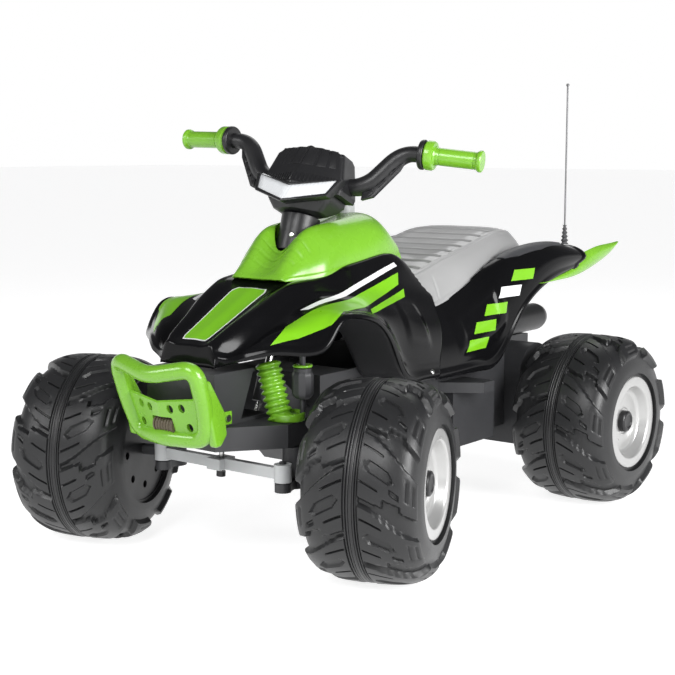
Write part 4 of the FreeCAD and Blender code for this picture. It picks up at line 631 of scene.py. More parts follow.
FRONT = [
    (0, [(0, 0.495), (0.132, 0.495), (0.211, 0.51), (0.25, 0.46), (0.268, 0.405), (0.272, 0.335)]),
    (0.043, [(0, 0.555), (0.14, 0.555), (0.246, 0.57), (0.325, 0.435), (0.395, 0.435), (0.456, 0.405)]),
    (0.118, [(0, 0.655), (0.149, 0.655), (0.281, 0.68), (0.39, 0.53), (0.526, 0.58), (0.667, 0.455)]),
    (0.21, [(0, 0.78), (0.158, 0.78), (0.333, 0.81), (0.456, 0.7), (0.689, 0.68), (0.899, 0.49)]),
    (0.266, [(0, 0.855), (0.162, 0.855), (0.351, 0.885), (0.478, 0.77), (0.715, 0.75), (0.925, 0.665)]),
    (0.355, [(0, 0.94), (0.197, 0.945), (0.386, 0.97), (0.509, 0.85), (0.746, 0.78), (0.939, 0.715)]),
    (0.447, [(0, 0.95), (0.263, 0.96), (0.43, 0.995), (0.535, 0.865), (0.759, 0.77), (0.934, 0.655)]),
    (0.557, [(0, 0.95), (0.263, 0.97), (0.452, 1.08), (0.575, 0.91), (0.768, 0.735), (0.917, 0.415)]),
    (0.627, [(0, 0.95), (0.263, 0.975), (0.458, 1.11), (0.592, 0.9), (0.776, 0.69), (0.904, 0.14)]),
    (0.737, [(0, 0.95), (0.263, 0.98), (0.462, 1.15), (0.61, 0.86), (0.789, 0.57), (0.895, 0.05)]),
    (0.85, [(0, 0.94), (0.241, 0.97), (0.45, 1.13), (0.61, 0.8), (0.781, 0.51), (0.89, 0.04)]),
    (1, [(0, 0.9), (0.219, 0.885), (0.461, 0.84), (0.623, 0.675), (0.772, 0.425), (0.877, 0.02)])]
NOSE, FRONT_LONG = -108, 533
front_grid, station = loft(FRONT, NOSE, FRONT_LONG, half=228, low=290, height=200, across=ACROSS)
front_grid = between(front_grid, 0.0, seam_share(front_grid, NOSE, FRONT_LONG, -SEAM_GAP), 170)
front_grid = np.concatenate([curtain(front_grid[0], 356, -4)[::-1], front_grid])
back_mm, lip = front_grid[..., 1] / MM, from_lip(front_grid)
hood = ease(-104, -90, back_mm) * (1 - ease(60, 90, back_mm))
rise = hood * (1.8 * bell(station, 2, 0.4) - 1.5 * bell(station, 1.25, 0.22) - 1.5 * bell(station, 3, 0.3))
rise = rise + ease(-100, -80, back_mm) * (3.2 * (1 - ease(7, 12, lip)) + 1.5 * (1 - ease(22, 28, lip)))
rise = rise + 2.4 * band(station, 3.35, 4.45, 0.12) * band(back_mm, 262, 330, 10)
front_body = hang("front_body_shell", closed_shell(*skins(front_grid, rise, BODY_WALL, under_seat)),
                  "chassis", "body_black", chassis, 60)
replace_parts(front_body, "front_body")
print("front body:", len(front_body.data.polygons), "faces")

# %% [markdown]
# The rear body starts on the same seam, dips under the seat and rises to two rounded horns beside it. Its
# side carries a raised panel with a soft border, and its rim is rolled thick, because this is the edge
# that a child holds when climbing on.

# %% Rear body
REAR = [
    (0, [(0, .64), (.49, .575), (.667, .46), (.81, .277), (.89, .017)]),
    (.165, [(0, .672), (.498, .604), (.658, .477), (.8, .29), (.884, .01)]),
    (.312, [(0, .732), (.516, .664), (.676, .574), (.818, .366), (.88, 0)]),
    (.422, [(0, .787), (.533, .757), (.702, .698), (.836, .468), (.889, .05)]),
    (.532, [(0, .83), (.551, .838), (.738, .843), (.867, .638), (.907, .349)]),
    (.642, [(0, .86), (.569, .894), (.764, .945), (.911, .8), (.933, .57)]),
    (.771, [(0, .86), (.578, .919), (.8, .983), (.969, .885), (.951, .689)]),
    (.9, [(0, .851), (.587, .906), (.809, .962), (.987, .877), (.942, .74)]),
    (1, [(0, .834), (.613, .877), (.827, .915), (.978, .851), (.924, .783)])]
REAR_START, REAR_LONG = 330, 545
rear_grid, station = loft(REAR, REAR_START, REAR_LONG, half=225, low=290, height=235, across=ACROSS)
rear_end = 0.954 + 0.034 * ease(1.0, 1.3, station) - 0.06 * ease(2.9, 4.0, station) ** 1.5
rear_start = seam_share(rear_grid, REAR_START, REAR_LONG, SEAM_GAP)
rear_grid = between(rear_grid, rear_start, rear_end, 170)
back_mm, lip = rear_grid[..., 1] / MM, from_lip(rear_grid)
tail = (rear_grid[-1, None, :, 1] - rear_grid[..., 1]) / MM
rise = 3.5 * (1 - ease(9, 15, lip)) + 3.0 * (1 - ease(8, 14, tail))
rise = rise + 3.2 * band(station, 2.3, 3.5, 0.1) * band(back_mm, 440, 590, 9)
rise = rise - 2.4 * band(station, 2.55, 3.25, 0.08) * band(back_mm, 462, 568, 7)
rear_body = hang("rear_body_shell", closed_shell(*skins(rear_grid, rise, BODY_WALL, under_seat)),
                 "chassis", "body_black", chassis, 60)
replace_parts(rear_body, "rear_body")
print("rear body:", len(rear_body.data.polygons), "faces")

# %% [markdown]
# The green cowl stands for a fuel tank. It is very glossy, has three faint grooves on its front slope, and a
# slot through which the raked column passes. The block is lofted full and the slot is cut through it along
# the column, so its wall is seen all the way down.

# %% Tank cowl
COWL = [
    (0, [(0, 0.047), (0.34, 0.085), (0.472, 0.085), (0.547, 0.057), (0.585, 0)]),
    (0.046, [(0, 0.113), (0.358, 0.236), (0.509, 0.198), (0.604, 0.113), (0.642, 0.019)]),
    (0.105, [(0, 0.236), (0.377, 0.415), (0.566, 0.33), (0.679, 0.189), (0.736, 0.038)]),
    (0.209, [(0, 0.462), (0.415, 0.726), (0.679, 0.519), (0.849, 0.274), (0.906, 0.085)]),
    (0.337, [(0, 0.66), (0.434, 0.868), (0.745, 0.651), (0.906, 0.368), (0.953, 0.132)]),
    (0.484, [(0, 0.802), (0.462, 0.915), (0.774, 0.708), (0.925, 0.425), (0.972, 0.17)]),
    (0.712, [(0, 0.991), (0.491, 0.991), (0.802, 0.792), (0.943, 0.481), (0.981, 0.208)]),
    (0.892, [(0, 0.972), (0.491, 0.925), (0.755, 0.726), (0.877, 0.481), (0.925, 0.236)]),
    (1, [(0, 0.698), (0.434, 0.67), (0.679, 0.538), (0.792, 0.406), (0.84, 0.274)])]
cowl_grid, station = loft(COWL, back=72, length=306, half=106, low=485, height=106, across=ACROSS)
cowl_grid = between(cowl_grid, 0.0, 1.0, 150)
back_mm = cowl_grid[..., 1] / MM
groove = sum(1 - ease(0.8, 2.2, np.abs(back_mm - line)) for line in (96, 112, 128))
rise = -1.2 * groove * (1 - ease(2.1, 2.4, station)) + 0.9 * (1 - ease(3, 6, from_lip(cowl_grid)))
cowl_skin = cowl_grid + outward(cowl_grid) * rise[..., None] * MM
FLOOR_UP, SLOT_HALF, SLOT_RADIUS = 484.5, 8, 36
cowl_floor = cowl_grid * (0.97, 1, 0) + (0, 0, FLOOR_UP * MM)
blank = closed_shell(cowl_skin, cowl_floor)
blank.transform(chassis)
slot_line = [(math.copysign(SLOT_HALF, math.cos(a)) + SLOT_RADIUS * math.cos(a), SLOT_RADIUS * math.sin(a))
             for a in whole_turn(64)]
slot_punch = prisms([slot_line], -140, 60)
slot_punch.transform(column @ Matrix.Rotation(-REST_STEER, 4, "Z"))
tank_cowl = hang("tank_cowl_block", punched(blank, slot_punch), "chassis", "lime", crease=35)
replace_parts(tank_cowl, "tank_cowl")
print("tank cowl:", len(tank_cowl.data.polygons), "faces")

# %% [markdown]
# Some details are flat pieces with eased edges: ribs, scales, webs, skirts. A bevel modifier does what a file
# does on a sharp edge, and the result is kept as a plain mesh.


# %% Eased edges
def eased(mesh, width, segments=3):
    """A mesh with its sharp edges rounded by a bevel, its width in mm."""
    return applied(mesh, "BEVEL", width=width * MM, segments=segments, limit_method="ANGLE",
                   angle_limit=math.radians(30))


def stacked(rings, hollow=False):
    """A mesh through closed rings of points in mm, capped, or hollow with its last ring met by its first."""
    count, stack = len(rings[0]), len(rings)
    points = [tuple(c * MM for c in p) for ring in rings for p in ring]
    faces = []
    for k in range(stack if hollow else stack - 1):
        here, after = k * count, (k + 1) % stack * count
        faces += [(here + j, here + (j + 1) % count, after + (j + 1) % count, after + j)
                  for j in range(count)]
    if not hollow:
        faces += [tuple(reversed(range(count))), tuple(range(len(points) - count, len(points)))]
    return raw(points, faces)


def rounded_ring(corners, radius):
    """A closed flat outline with its corners rounded, moved off the lathe's axis meanwhile."""
    aside = 1000
    return [(x - aside, y) for x, y in softened([(x + aside, y) for x, y in corners], radius, 4)]


print("edge tools ready")

# %% [markdown]
# The dash rides on the raked column. Below is a bowl with short upright ribs, above it a five-sided cover
# whose top edge steps like a row of scales, and between them a bent lamp in a black bezel with pointed
# ends. All of them are drawn in the column's own frame, so they turn with the handlebar.


# %% Dash bowl and cover
CROWN_UP = 144
STEP_WIDE, STEP_HIGH, STEP_FALL = 24, 5, 0.11


def vee(half, front, sweep, rear):
    """A five-cornered outline that comes to a blunt point in front."""
    return [(-half, rear), (half, rear), (half, sweep - front), (0, -front), (-half, sweep - front)]


def level(outline, up, radius=9, cuts=12):
    """An outline with rounded corners at a height, its sides cut into short pieces."""
    flat = rounded_ring(outline, radius)
    return [(x, y, up) for a, b in zip(flat, flat[1:] + flat[:1]) for x, y in divided(a, b, cuts)]


def scallop(x):
    """How far the cover's top edge stands up at a place across: rounded steps, lower to the sides."""
    return STEP_HIGH * abs(math.cos(math.pi * x / STEP_WIDE)) ** 0.5 - STEP_FALL * abs(x)


sleeve = turned(softened([(24, -48), (33.5, -48), (34, -10), (36, 21), (24, 21)], 2))
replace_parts(hang("column_sleeve_tube", sleeve, "steering", "dash_black", column), "column_sleeve")
bowl = stacked([level(vee(40, 33, 12, 7), 23), level(vee(50, 44, 18, 12), 27.5),
                level(vee(60, 53, 22, 32), 42), level(vee(66, 60, 27, 38), 53),
                level(vee(66, 60, 27, 38), 60.6)])
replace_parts(hang("dash_bowl_shell", bowl, "steering", "dash_black", column, 30), "dash_bowl")
tops = [(82, 66, 40, 61.5), (84, 68, 41, 70), (78, 54, 30, 96), (68, 32, 14, 134)]
cover_rings = [level(vee(half, front, sweep, 38), up, 7) for half, front, sweep, up in tops]
crown = level(vee(64, 24, 10, 36), CROWN_UP, 7)
cover = stacked(cover_rings + [[(x * s, y * s, up + drop + scallop(x)) for x, y, up in crown]
                               for s, drop in ((1, 0), (0.985, 1.6), (0.93, 2.2))]
                + [level(vee(55, 17, 8, 28), CROWN_UP - 1, 7)])
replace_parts(hang("dash_cover_shell", cover, "steering", "dash_black", column, 24), "dash_cover")
print("dash:", len(bowl.polygons) + len(cover.polygons), "faces")

# %% [markdown]
# The scales along the top edge and the upright ribs over the lamp are repeats of one small eased block, set
# out on the slanting faces of the cover. A block's place comes from the corners of its face, so the row
# follows the slope by itself.


# %% Dash scales and ribs
def on_face(corners, u, v):
    """A point on a four-cornered face, and the face's outward normal."""
    a, b, c, d = (Vector(corner) for corner in corners)
    spot = (a * (1 - u) + b * u) * (1 - v) + (d * (1 - u) + c * u) * v
    return spot, (b - a).cross(d - a).normalized()


def face_block(corners, low, high, thick):
    """A block that stands on part of a face: low and high are its shares along and up the face."""
    ring_under, ring_over = [], []
    for u, v in ((low[0], low[1]), (high[0], low[1]), (high[0], high[1]), (low[0], high[1])):
        spot, up = on_face(corners, u, v)
        ring_under.append(tuple(spot - up * 2))
        ring_over.append(tuple(spot + up * thick))
    return stacked([ring_under, ring_over])


def joined(meshes):
    """Several meshes as one."""
    whole = bmesh.new()
    for mesh in meshes:
        whole.from_mesh(mesh)
    out = bpy.data.meshes.new("joined")
    whole.to_mesh(out)
    whole.free()
    return out


def mirrored(face):
    """The same face on the other side, its corners again in order."""
    return [(-x, y, z) for x, y, z in (face[1], face[0], face[3], face[2])]


COVER_FACE = [(0, -68, 70), (84, -27, 70), (64, -14, 146), (0, -24, 146)]
BOWL_FACE = [(0, -54, 41), (61, -31, 41), (66, -33, 58), (0, -60, 58)]
RIB_COUNT, RIB_FIRST, RIB_STEP, RIB_WIDE = 11, 0.05, 0.078, 0.035
SCALES = ((0, 0.3, 0.985), (0.36, 0.6, 0.965), (0.66, 0.86, 0.94))
ribs, scales = [], []
for face, mirror in ((COVER_FACE, False), (mirrored(COVER_FACE), True)):
    for k in range(RIB_COUNT):
        u = RIB_FIRST + RIB_STEP * k
        u = 1 - u - RIB_WIDE if mirror else u
        ribs.append(eased(face_block(face, (u, 0.03), (u + RIB_WIDE, 0.26), 1.8), 0.6, 2))
    for k, (start, stop, rise) in enumerate(SCALES):
        start, stop = (1 - stop, 1 - start) if mirror else (start, stop)
        scales.append(eased(face_block(face, (start, 0.5), (stop, rise + 0.03), 2.2 - 0.3 * k), 1.2, 2))
bowl_ribs = [eased(face_block(face, (0.1 + 0.13 * k, 0.04), (0.16 + 0.13 * k, 0.85), 2.4), 0.8, 2)
             for face in (BOWL_FACE, mirrored(BOWL_FACE)) for k in range(6)]
for name, made in (("dash_ribs", ribs), ("dash_scales", scales), ("bowl_ribs", bowl_ribs)):
    hang(name, joined(made), "steering", "dash_black", column)
print(len(ribs + bowl_ribs), "ribs and", len(scales), "scales")

# %% [markdown]
# The lamp is a bent bar: its middle sits low and forward, its ends sweep up and back to points. Pane and
# bezel share one front outline. The pane is that outline as a slab, the bezel is the band around it, set a
# little proud so that it casts the thin dark line seen around the light.


# %% Lamp
LAMP_HALF, LAMP_LOW, LAMP_TALL, LAMP_FRONT = 79, 28, 32, -86
LAMP_BEND, LAMP_RISE, LAMP_LEAN = 29, 23, 14


def lamp_spot(x, z, deep):
    """A point of the lamp's front, which bends back to both sides and leans back to the top."""
    out = abs(x) / LAMP_HALF
    tilt = LAMP_LEAN * (z - LAMP_LOW - LAMP_RISE * out) / LAMP_TALL
    return (x, LAMP_FRONT + LAMP_BEND * out + tilt + deep, z)


def lamp_outline(grow):
    """The lamp's outline as its front shows it, grown all round: the upper line, then the lower one back."""
    upper = [(-80 - grow * 1.6, 84 + grow * 0.5), (0, 60 + grow), (80 + grow * 1.6, 84 + grow * 0.5)]
    lower = [(70 + grow * 0.6, 53 - grow), (0, 29 - grow), (-70 - grow * 0.6, 53 - grow)]
    out = []
    for line in (upper, lower):
        for start, stop in zip(line, line[1:]):
            out += divided(start, stop, 6)
        out.append(line[-1])
    return out


def lamp_ring(grow, deep):
    """The grown outline, set some way into the lamp."""
    return [lamp_spot(x, z, deep) for x, z in lamp_outline(grow)]


PANE_DEEP = (1.8, 1.2, 1.2, 1.2, 1.8)
rim_line = lamp_outline(-1)
upper, lower = rim_line[:len(rim_line) // 2], rim_line[len(rim_line) // 2:]
pane_front = [[lamp_spot(x, z, deep) for (x, z), deep in zip(divided(top, foot, 4) + [foot], PANE_DEEP)]
              for top, foot in zip(upper, reversed(lower))]
pane_back = [[(x, y + 9, z) for x, y, z in row] for row in pane_front]
pane = hang("lamp_pane", closed_shell(np.array(pane_front) * MM, np.array(pane_back) * MM), "steering",
            "lamp_white", column, 50)
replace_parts(pane, "light_bar")
bezel = stacked([lamp_ring(-0.4, 12), lamp_ring(-0.4, -0.6), lamp_ring(1.6, -1.6), lamp_ring(4.2, -0.8),
                 lamp_ring(5.0, 2), lamp_ring(3.4, 22)], hollow=True)
hang("lamp_bezel", bezel, "steering", "dash_black", column, 35)
print("lamp with", len(bezel.polygons), "bezel faces")

# %% [markdown]
# The handlebar is a blow-moulded tube with two bends a side. Its rising arms are fatter and stiffened by a
# web below with three raised gussets. The tube is swept by hand: rings of points are set along a rounded
# path, which keeps the mesh closed and its ends where the grips begin.


# %% Handlebar
GRIP_OUT, GRIP_BACK, GRIP_UP = 204 * MM, 28 * MM, 165 * MM
WEB_BACK, WEB_FOOT, WEB_LEAN = 16, 90, 0.147


def swept(path, radius, sides=24):
    """Rings of points round a path in mm, kept from twisting."""
    path = [Vector(p) for p in path]
    rings = []
    aside = Vector((0, 1, 0))
    for k, spot in enumerate(path):
        ahead = (path[min(k + 1, len(path) - 1)] - path[max(k - 1, 0)]).normalized()
        over = ahead.cross(aside).normalized()
        aside = over.cross(ahead).normalized()
        wide = radius[k] if isinstance(radius, list) else radius
        rings.append([tuple(spot + (aside * math.cos(a) + over * math.sin(a)) * wide)
                      for a in whole_turn(sides)])
    return rings


def bent(points, reach, steps=9):
    """A path through points with its corners rounded by smooth bends."""
    spots = [Vector(p) for p in points]
    out = [spots[0]]
    for before, here, after in zip(spots, spots[1:], spots[2:]):
        first = here + (before - here).normalized() * min(reach, (before - here).length / 2)
        last = here + (after - here).normalized() * min(reach, (after - here).length / 2)
        out += curve(first, here, last, steps)
    return out + [spots[-1]]


def grip_place(side):
    """A grip's frame on the column: Z runs outward along the grip, a little swept back."""
    root = Matrix.Translation((side * GRIP_OUT, GRIP_BACK, GRIP_UP))
    return column @ root @ pointed((side * 106, 14, 0))


def on_web(outline, deep):
    """A slab over an outline, lying in the leaning plane of an arm's web."""
    return stacked([[(x, WEB_BACK + (z - WEB_FOOT) * WEB_LEAN + off, z) for x, z in outline]
                    for off in (-deep, deep)])


BAR = [(-206, 28, 165), (-161, 28, 165), (-108, 17, 90), (108, 17, 90), (161, 28, 165), (206, 28, 165)]
bar_path = bent(BAR, 30)
bar_wide = [14.6 + 2.6 * float(band(abs(p.x), 84, 158, 22)) for p in bar_path]
parts = [stacked(swept(bar_path, bar_wide))]
WEB = [(104, 92), (152, 160), (172, 152), (165, 130), (128, 74), (106, 66)]
GUSSETS = [[(118, 72), (128, 82), (119, 88)], [(134, 92), (146, 110), (131, 103)],
           [(151, 118), (160, 132), (147, 124)]]
for _, side in SIDES:
    parts.append(eased(on_web([(side * x, z) for x, z in WEB], 4), 1.4))
    for line in GUSSETS:
        parts.append(eased(on_web([(side * x, z) for x, z in line], 6.5), 1, 2))
bar = joined(parts)
bar.transform(column)
DISC = softened([(0, -9), (25, -9), (27, -6), (27, -1), (25, 1.2), (0, 1.2)], 1.5)
discs = [turned(DISC) for _ in SIDES]
for disc, (_, side) in zip(discs, SIDES):
    disc.transform(grip_place(side))
handlebar = hang("handlebar_tube", joined([bar] + discs), "steering", "dash_black", crease=38)
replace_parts(handlebar, "handlebar")
print("handlebar:", len(handlebar.data.polygons), "faces")

# %% [markdown]
# A grip is one soft-looking moulding pushed over the bar: a big flange against the hand, a slim smooth handle
# with a fine groove near each end, and a fat tip. It is turned on the lathe, because every section is round.

# %% Grips
GRIP = [(11, 2.4), (24.5, 2.4), (26.5, 5), (26.5, 15), (24.5, 18.6), (18, 19.2), (16.2, 21.5), (16, 24)]
for at in (28, 92):
    GRIP += [(15.8, at - 1.4), (15, at - 0.6), (15, at + 0.6), (15.8, at + 1.4)]
GRIP += [(16, 97), (18.4, 99), (19.4, 101), (19.4, 105), (18, 106.6), (0, 106.6), (0, 100), (11, 100)]
for side_name, side in SIDES:
    grip = hang(f"{side_name}_grip_handle", turned(GRIP, 56), "steering", "lime", grip_place(side), 32)
    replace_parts(grip, f"{side_name}_grip")
print("two grips of", len(GRIP), "rings")

# %% [markdown]
# The springs under the fenders are dummies: thick rounded ribs on a core that leans inward, standing in a
# cup on the beam. Beside each stands a dark damper with a green clip and a bolt. All are turned pieces.


# %% Shocks and dampers
def bellows(length, core, rib, count, steps=8):
    """A turned profile with soft ribs, from the foot to the head."""
    line = [(0, 0), (core, 0)]
    for k in range(count * steps):
        t = (k + 0.5) / steps
        line.append((core + rib * (0.5 - 0.5 * math.cos(2 * math.pi * t)) ** 0.6, length * t / count))
    return line + [(core, length), (0, length)]


CUP = softened([(0, 0), (30, 0), (31, 12), (27, 15), (23, 11), (0, 11)], 2.5)
BARREL = softened([(0, 296), (13, 296), (18.5, 304), (18.5, 338), (13, 346), (0, 346)], 3)
CLIP = softened([(6.5, 350), (16, 350), (17, 352), (16, 354), (6.5, 354)], 0.8)
BEAM_TOP, SHOCK_LEAN = 0.2595, math.radians(17)
for side_name, side in SIDES:
    stack = turned(bellows(length=101, core=16.5, rib=6, count=9), 44)
    stack.transform(on_chassis(side * 0.120, -0.010, BEAM_TOP) @ Matrix.Rotation(-side * SHOCK_LEAN, 4, "Y"))
    cup = turned(CUP, 44)
    cup.transform(on_chassis(side * 0.126, 0, BEAM_TOP))
    shock = hang(f"{side_name}_shock_ribs", joined([stack, cup]), "chassis", "lime", crease=45)
    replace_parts(shock, f"{side_name}_shock")
    post = on_chassis(side * 0.146, 0.016, 0)
    hang(f"{side_name}_damper_barrel", turned(BARREL, 10), "chassis", "frame_dark", post, 25)
    hang(f"{side_name}_damper_clip", turned(CLIP, 32), "chassis", "lime", post)
print("shocks and dampers ready")

# %% [markdown]
# Behind the fender lip a matt liner closes the wheel arch and runs down to the footboard. It follows the
# lip that the front body ends on, so its rim is read from the body's own grid and drawn inward.

# %% Arch liners
LINER_FRONT, LINER_REAR, LINER_INSIDE, LINER_WALL = 0.045, 0.332, 0.106, 0.0012
inward = np.linspace(0, 1, 16)[None, :, None]
for side_name, side in SIDES:
    rim_line = front_grid[:, -1 if side > 0 else 0]
    rim_line = rim_line[(rim_line[:, 1] > LINER_FRONT) & (rim_line[:, 1] < LINER_REAR)]
    inner_line = rim_line - (0, 0, 0.004)
    inner_line[:, 0] = LINER_INSIDE * side
    liner = (rim_line - (0.004 * side, 0, -0.001))[:, None] * (1 - inward) + inner_line[:, None] * inward
    liner[..., 2] += 0.004 * np.sin(np.pi * inward[..., 0])
    n = outward(liner) * LINER_WALL
    hang(f"{side_name}_arch_liner", closed_shell(liner + n, liner - n), "chassis", "frame_dark", chassis, 50)
print("arch liners ready")

# %% [markdown]
# The bumper is one lime moulding: a fat hoop, a bowed plate across its lower half, and skirts that run back
# at both sides. The hoop is swept round a closed path. The holes in the plate are punched, as the rim's
# were, because a hole with a real wall looks right from every side.


# %% Bumper
HOOP_FOOT, HOOP_TALL = 241, 126
PLATE_HALF = 0.003


def hoop_half(z):
    """Half the hoop's width at a height."""
    return 76 + 12 * (z - HOOP_FOOT) / HOOP_TALL


def hoop_back(z):
    """Where the hoop's sides stand at a height, leaning forward to the top."""
    return -146 - 40 * (z - HOOP_FOOT) / HOOP_TALL


def oval(x, z, wide, high):
    """A hole's outline round a middle."""
    return [(x + wide * math.cos(a), z + high * math.sin(a)) for a in whole_turn(20)]


HOOP = [(0, -162, 240), (76, -146, 241), (89, -163, 298), (89, -186, 366), (0, -203, 349),
        (-89, -186, 366), (-89, -163, 298), (-76, -146, 241), (0, -162, 240)]
hoop = stacked(swept(bent(HOOP, 26), 14.5, 20)[:-1], hollow=True)
across, up = np.meshgrid(np.linspace(-1, 1, 61), np.linspace(0, 1, 21))
z = 238 + (64 + 10 * np.abs(across)) * up
bow = np.stack([across * hoop_half(z), hoop_back(z) - 16 * (1 - np.abs(across)), z], axis=2) * MM
plate = closed_shell(bow - (0, PLATE_HALF, 0), bow + (0, PLATE_HALF, 0))
holes = [oval(side * x, high, 6, 7.5) for _, side in SIDES for x, high in ((23, 292), (46, 295), (53, 262))]
holes.append(rounded_ring([(-23, 247), (23, 247), (23, 277), (-23, 277)], 4))
plate_punch = prisms(holes, 100, 240)
plate_punch.transform(Matrix.Rotation(math.pi / 2, 4, "X"))
parts = [hoop, punched(plate, plate_punch)]
SKIRT = [(-178, 345), (-160, 345), (-126, 290), (-120, 250), (-135, 232), (-150, 232)]
TAB = [(-146, 262), (-92, 262), (-92, 284), (-146, 284)]
for _, side in SIDES:
    for outline, low, high, soft in ((SKIRT, 84, 100, 5), (TAB, 78.3, 83.3, 1)):
        parts.append(eased(stacked([[(side * x, y, z) for y, z in outline] for x in (low, high)]), soft))
bumper = joined(parts)
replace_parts(hang("bumper_hoop", bumper, "chassis", "lime", chassis), "front_bumper")
print("bumper:", len(bumper.polygons), "faces")

# %% [markdown]
# The winch is a dummy: a drum moulded with the turns of a rope. The turns are part of its profile, so the
# lathe makes them all at once.

# %% Winch drum
WINCH = [(0, -22), (14, -22), (14, -19)]
ROPE_RINGS, RINGS_A_TURN = 60, 10
for k in range(ROPE_RINGS):
    swell = abs(math.sin(math.pi * k / RINGS_A_TURN)) ** 0.7
    WINCH.append((11.6 + 2.2 * swell, -18.6 + 37.2 * k / (ROPE_RINGS - 1)))
drum = turned(WINCH + [(14, 19), (14, 22), (0, 22)], 40)
drum_place = on_chassis(0, -0.158, 0.262) @ ALONG_X
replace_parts(hang("winch_rope", drum, "chassis", "winch_brown", drum_place), "winch_drum")
print("winch:", len(WINCH), "rings")

# %% [markdown]
# The tail fins are thin lime blades, bellied like a lens and drawn out to a point behind. Two curves give
# the lower and the upper edge, and the blade is the grid between them, thickest in its middle. In front
# its upper edge tucks in behind the rim of the horn.

# %% Tail fins
FIN_LOW = [(686, 443), (752, 445), (820, 448), (890, 459), (962, 478), (1000, 493), (1030, 511)]
FIN_HIGH = [(686, 443), (740, 456), (800, 468), (870, 492), (930, 505), (985, 508), (1030, 511)]
FIN_OUT, FIN_BELLY, FIN_TUCK = 216, 4, 14
share = np.linspace(0.015, 0.99, 70)
knots = np.linspace(0, 1, len(FIN_LOW))
rise = np.linspace(0, 1, 17)[None, :, None]
blade = spline(knots, FIN_LOW, share)[:, None] * (1 - rise) + spline(knots, FIN_HIGH, share)[:, None] * rise
belly = 4 * rise[..., 0] * (1 - rise[..., 0]) * np.sin(np.pi * share[:, None]) ** 0.5
tuck = FIN_TUCK * rise[..., 0] * (1 - ease(0.35, 0.62, share[:, None]))
for side_name, side in SIDES:
    swell = FIN_BELLY * belly
    cheeks = [np.stack([side * (FIN_OUT - tuck + swell + way * (1 + swell)), blade[..., 0], blade[..., 1]],
                       axis=2) * MM for way in (1, -1)]
    fin = hang(f"{side_name}_fin_blade", closed_shell(*cheeks), "chassis", "lime", chassis, 45)
    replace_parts(fin, f"{side_name}_tail_fin")
print("fins:", len(fin.data.polygons), "faces each")

# %% [markdown]
# Two mufflers lie under the tail. Each is a turned can with a rolled end and an open pipe, sitting in a small
# saddle block.

# %% Mufflers
MUFFLER = softened([(0, 640), (29, 640), (29, 862), (24, 878), (17, 880), (14, 872), (0, 872)], 3)
MUFFLER_OUT, MUFFLER_UP, SADDLE_OUT, SADDLE_FOOT = 104, 352, 98, 318
SADDLE = [(-14.5, 669), (14.5, 669), (14.5, 727), (-14.5, 727)]
for side_name, side in SIDES:
    can = turned(MUFFLER)
    can.transform(Matrix.Translation((side * MUFFLER_OUT * MM, 0, MUFFLER_UP * MM))
                  @ Matrix.Rotation(-math.pi / 2, 4, "X"))
    saddle = eased(stacked([[(side * SADDLE_OUT + x, y, z) for x, y in SADDLE]
                            for z in (SADDLE_FOOT, MUFFLER_UP)]), 2)
    muffler = hang(f"{side_name}_muffler_can", joined([can, saddle]), "chassis", "body_black", chassis,
                   material=satin_black)
    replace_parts(muffler, f"{side_name}_muffler")
print("mufflers ready")

# %% [markdown]
# The decoration is plain cut vinyl: a bonnet panel with a thin white edge, tapering stripes on the flanks
# and a ladder of slanted bars behind the seam. Each sticker is drawn flat, cut into small faces and laid
# on the shell by casting every point onto it, so it follows the crown and keeps a real thickness.


# %% Stickers
def laid(name, outline, seen_from, ground, slot, lift=0.5, step=4, thick=0.9):
    """A sticker from a flat outline in mm, laid on a shell as it is seen from one direction.

    The outline runs back along the vehicle, and then across the line of sight."""
    u_way, toward = Vector((0, 1, 0)), -Vector(seen_from).normalized()
    v_way = u_way.cross(toward) if seen_from[0] >= 0 else toward.cross(u_way)
    flat = bmesh.new()
    flat.faces.new([flat.verts.new((u, v, 0)) for u, v in outline])
    bmesh.ops.triangulate(flat, faces=flat.faces)
    for axis in (0, 1):
        marks = [p[axis] for p in outline]
        for cut in np.arange(min(marks) + step, max(marks), step):
            spot = (cut, 0, 0) if axis == 0 else (0, cut, 0)
            way = (1, 0, 0) if axis == 0 else (0, 1, 0)
            everything = flat.verts[:] + flat.edges[:] + flat.faces[:]
            bmesh.ops.bisect_plane(flat, geom=everything, plane_co=spot, plane_no=way)
    bmesh.ops.remove_doubles(flat, verts=flat.verts, dist=0.01)
    over, under = [], []
    for v in flat.verts:
        start = (u_way * v.co.x + v_way * v.co.y) * MM + Vector((0, KINGPIN_Y, 0)) - toward * 1.0
        spot, normal, _, _ = ground.ray_cast(start, toward)
        if normal.dot(toward) > 0:
            normal = -normal
        over.append(spot + normal * lift * MM)
        under.append(spot + normal * (lift - thick) * MM)
    flat.verts.index_update()
    faces = [tuple(v.index for v in f.verts) for f in flat.faces]
    rim = [(e.verts[0].index, e.verts[1].index) for e in flat.edges if e.is_boundary]
    count = len(over)
    faces += [tuple(i + count for i in reversed(f)) for f in faces]
    faces += [(a, b, b + count, a + count) for a, b in rim]
    flat.free()
    return hang(name, raw(over + under, faces), "chassis", slot, material=VINYL[slot])


def ground_of(obj):
    """A search tree of a finished piece, for laying others on it."""
    return tree_of([v.co for v in obj.data.vertices], [tuple(f.vertices) for f in obj.data.polygons])


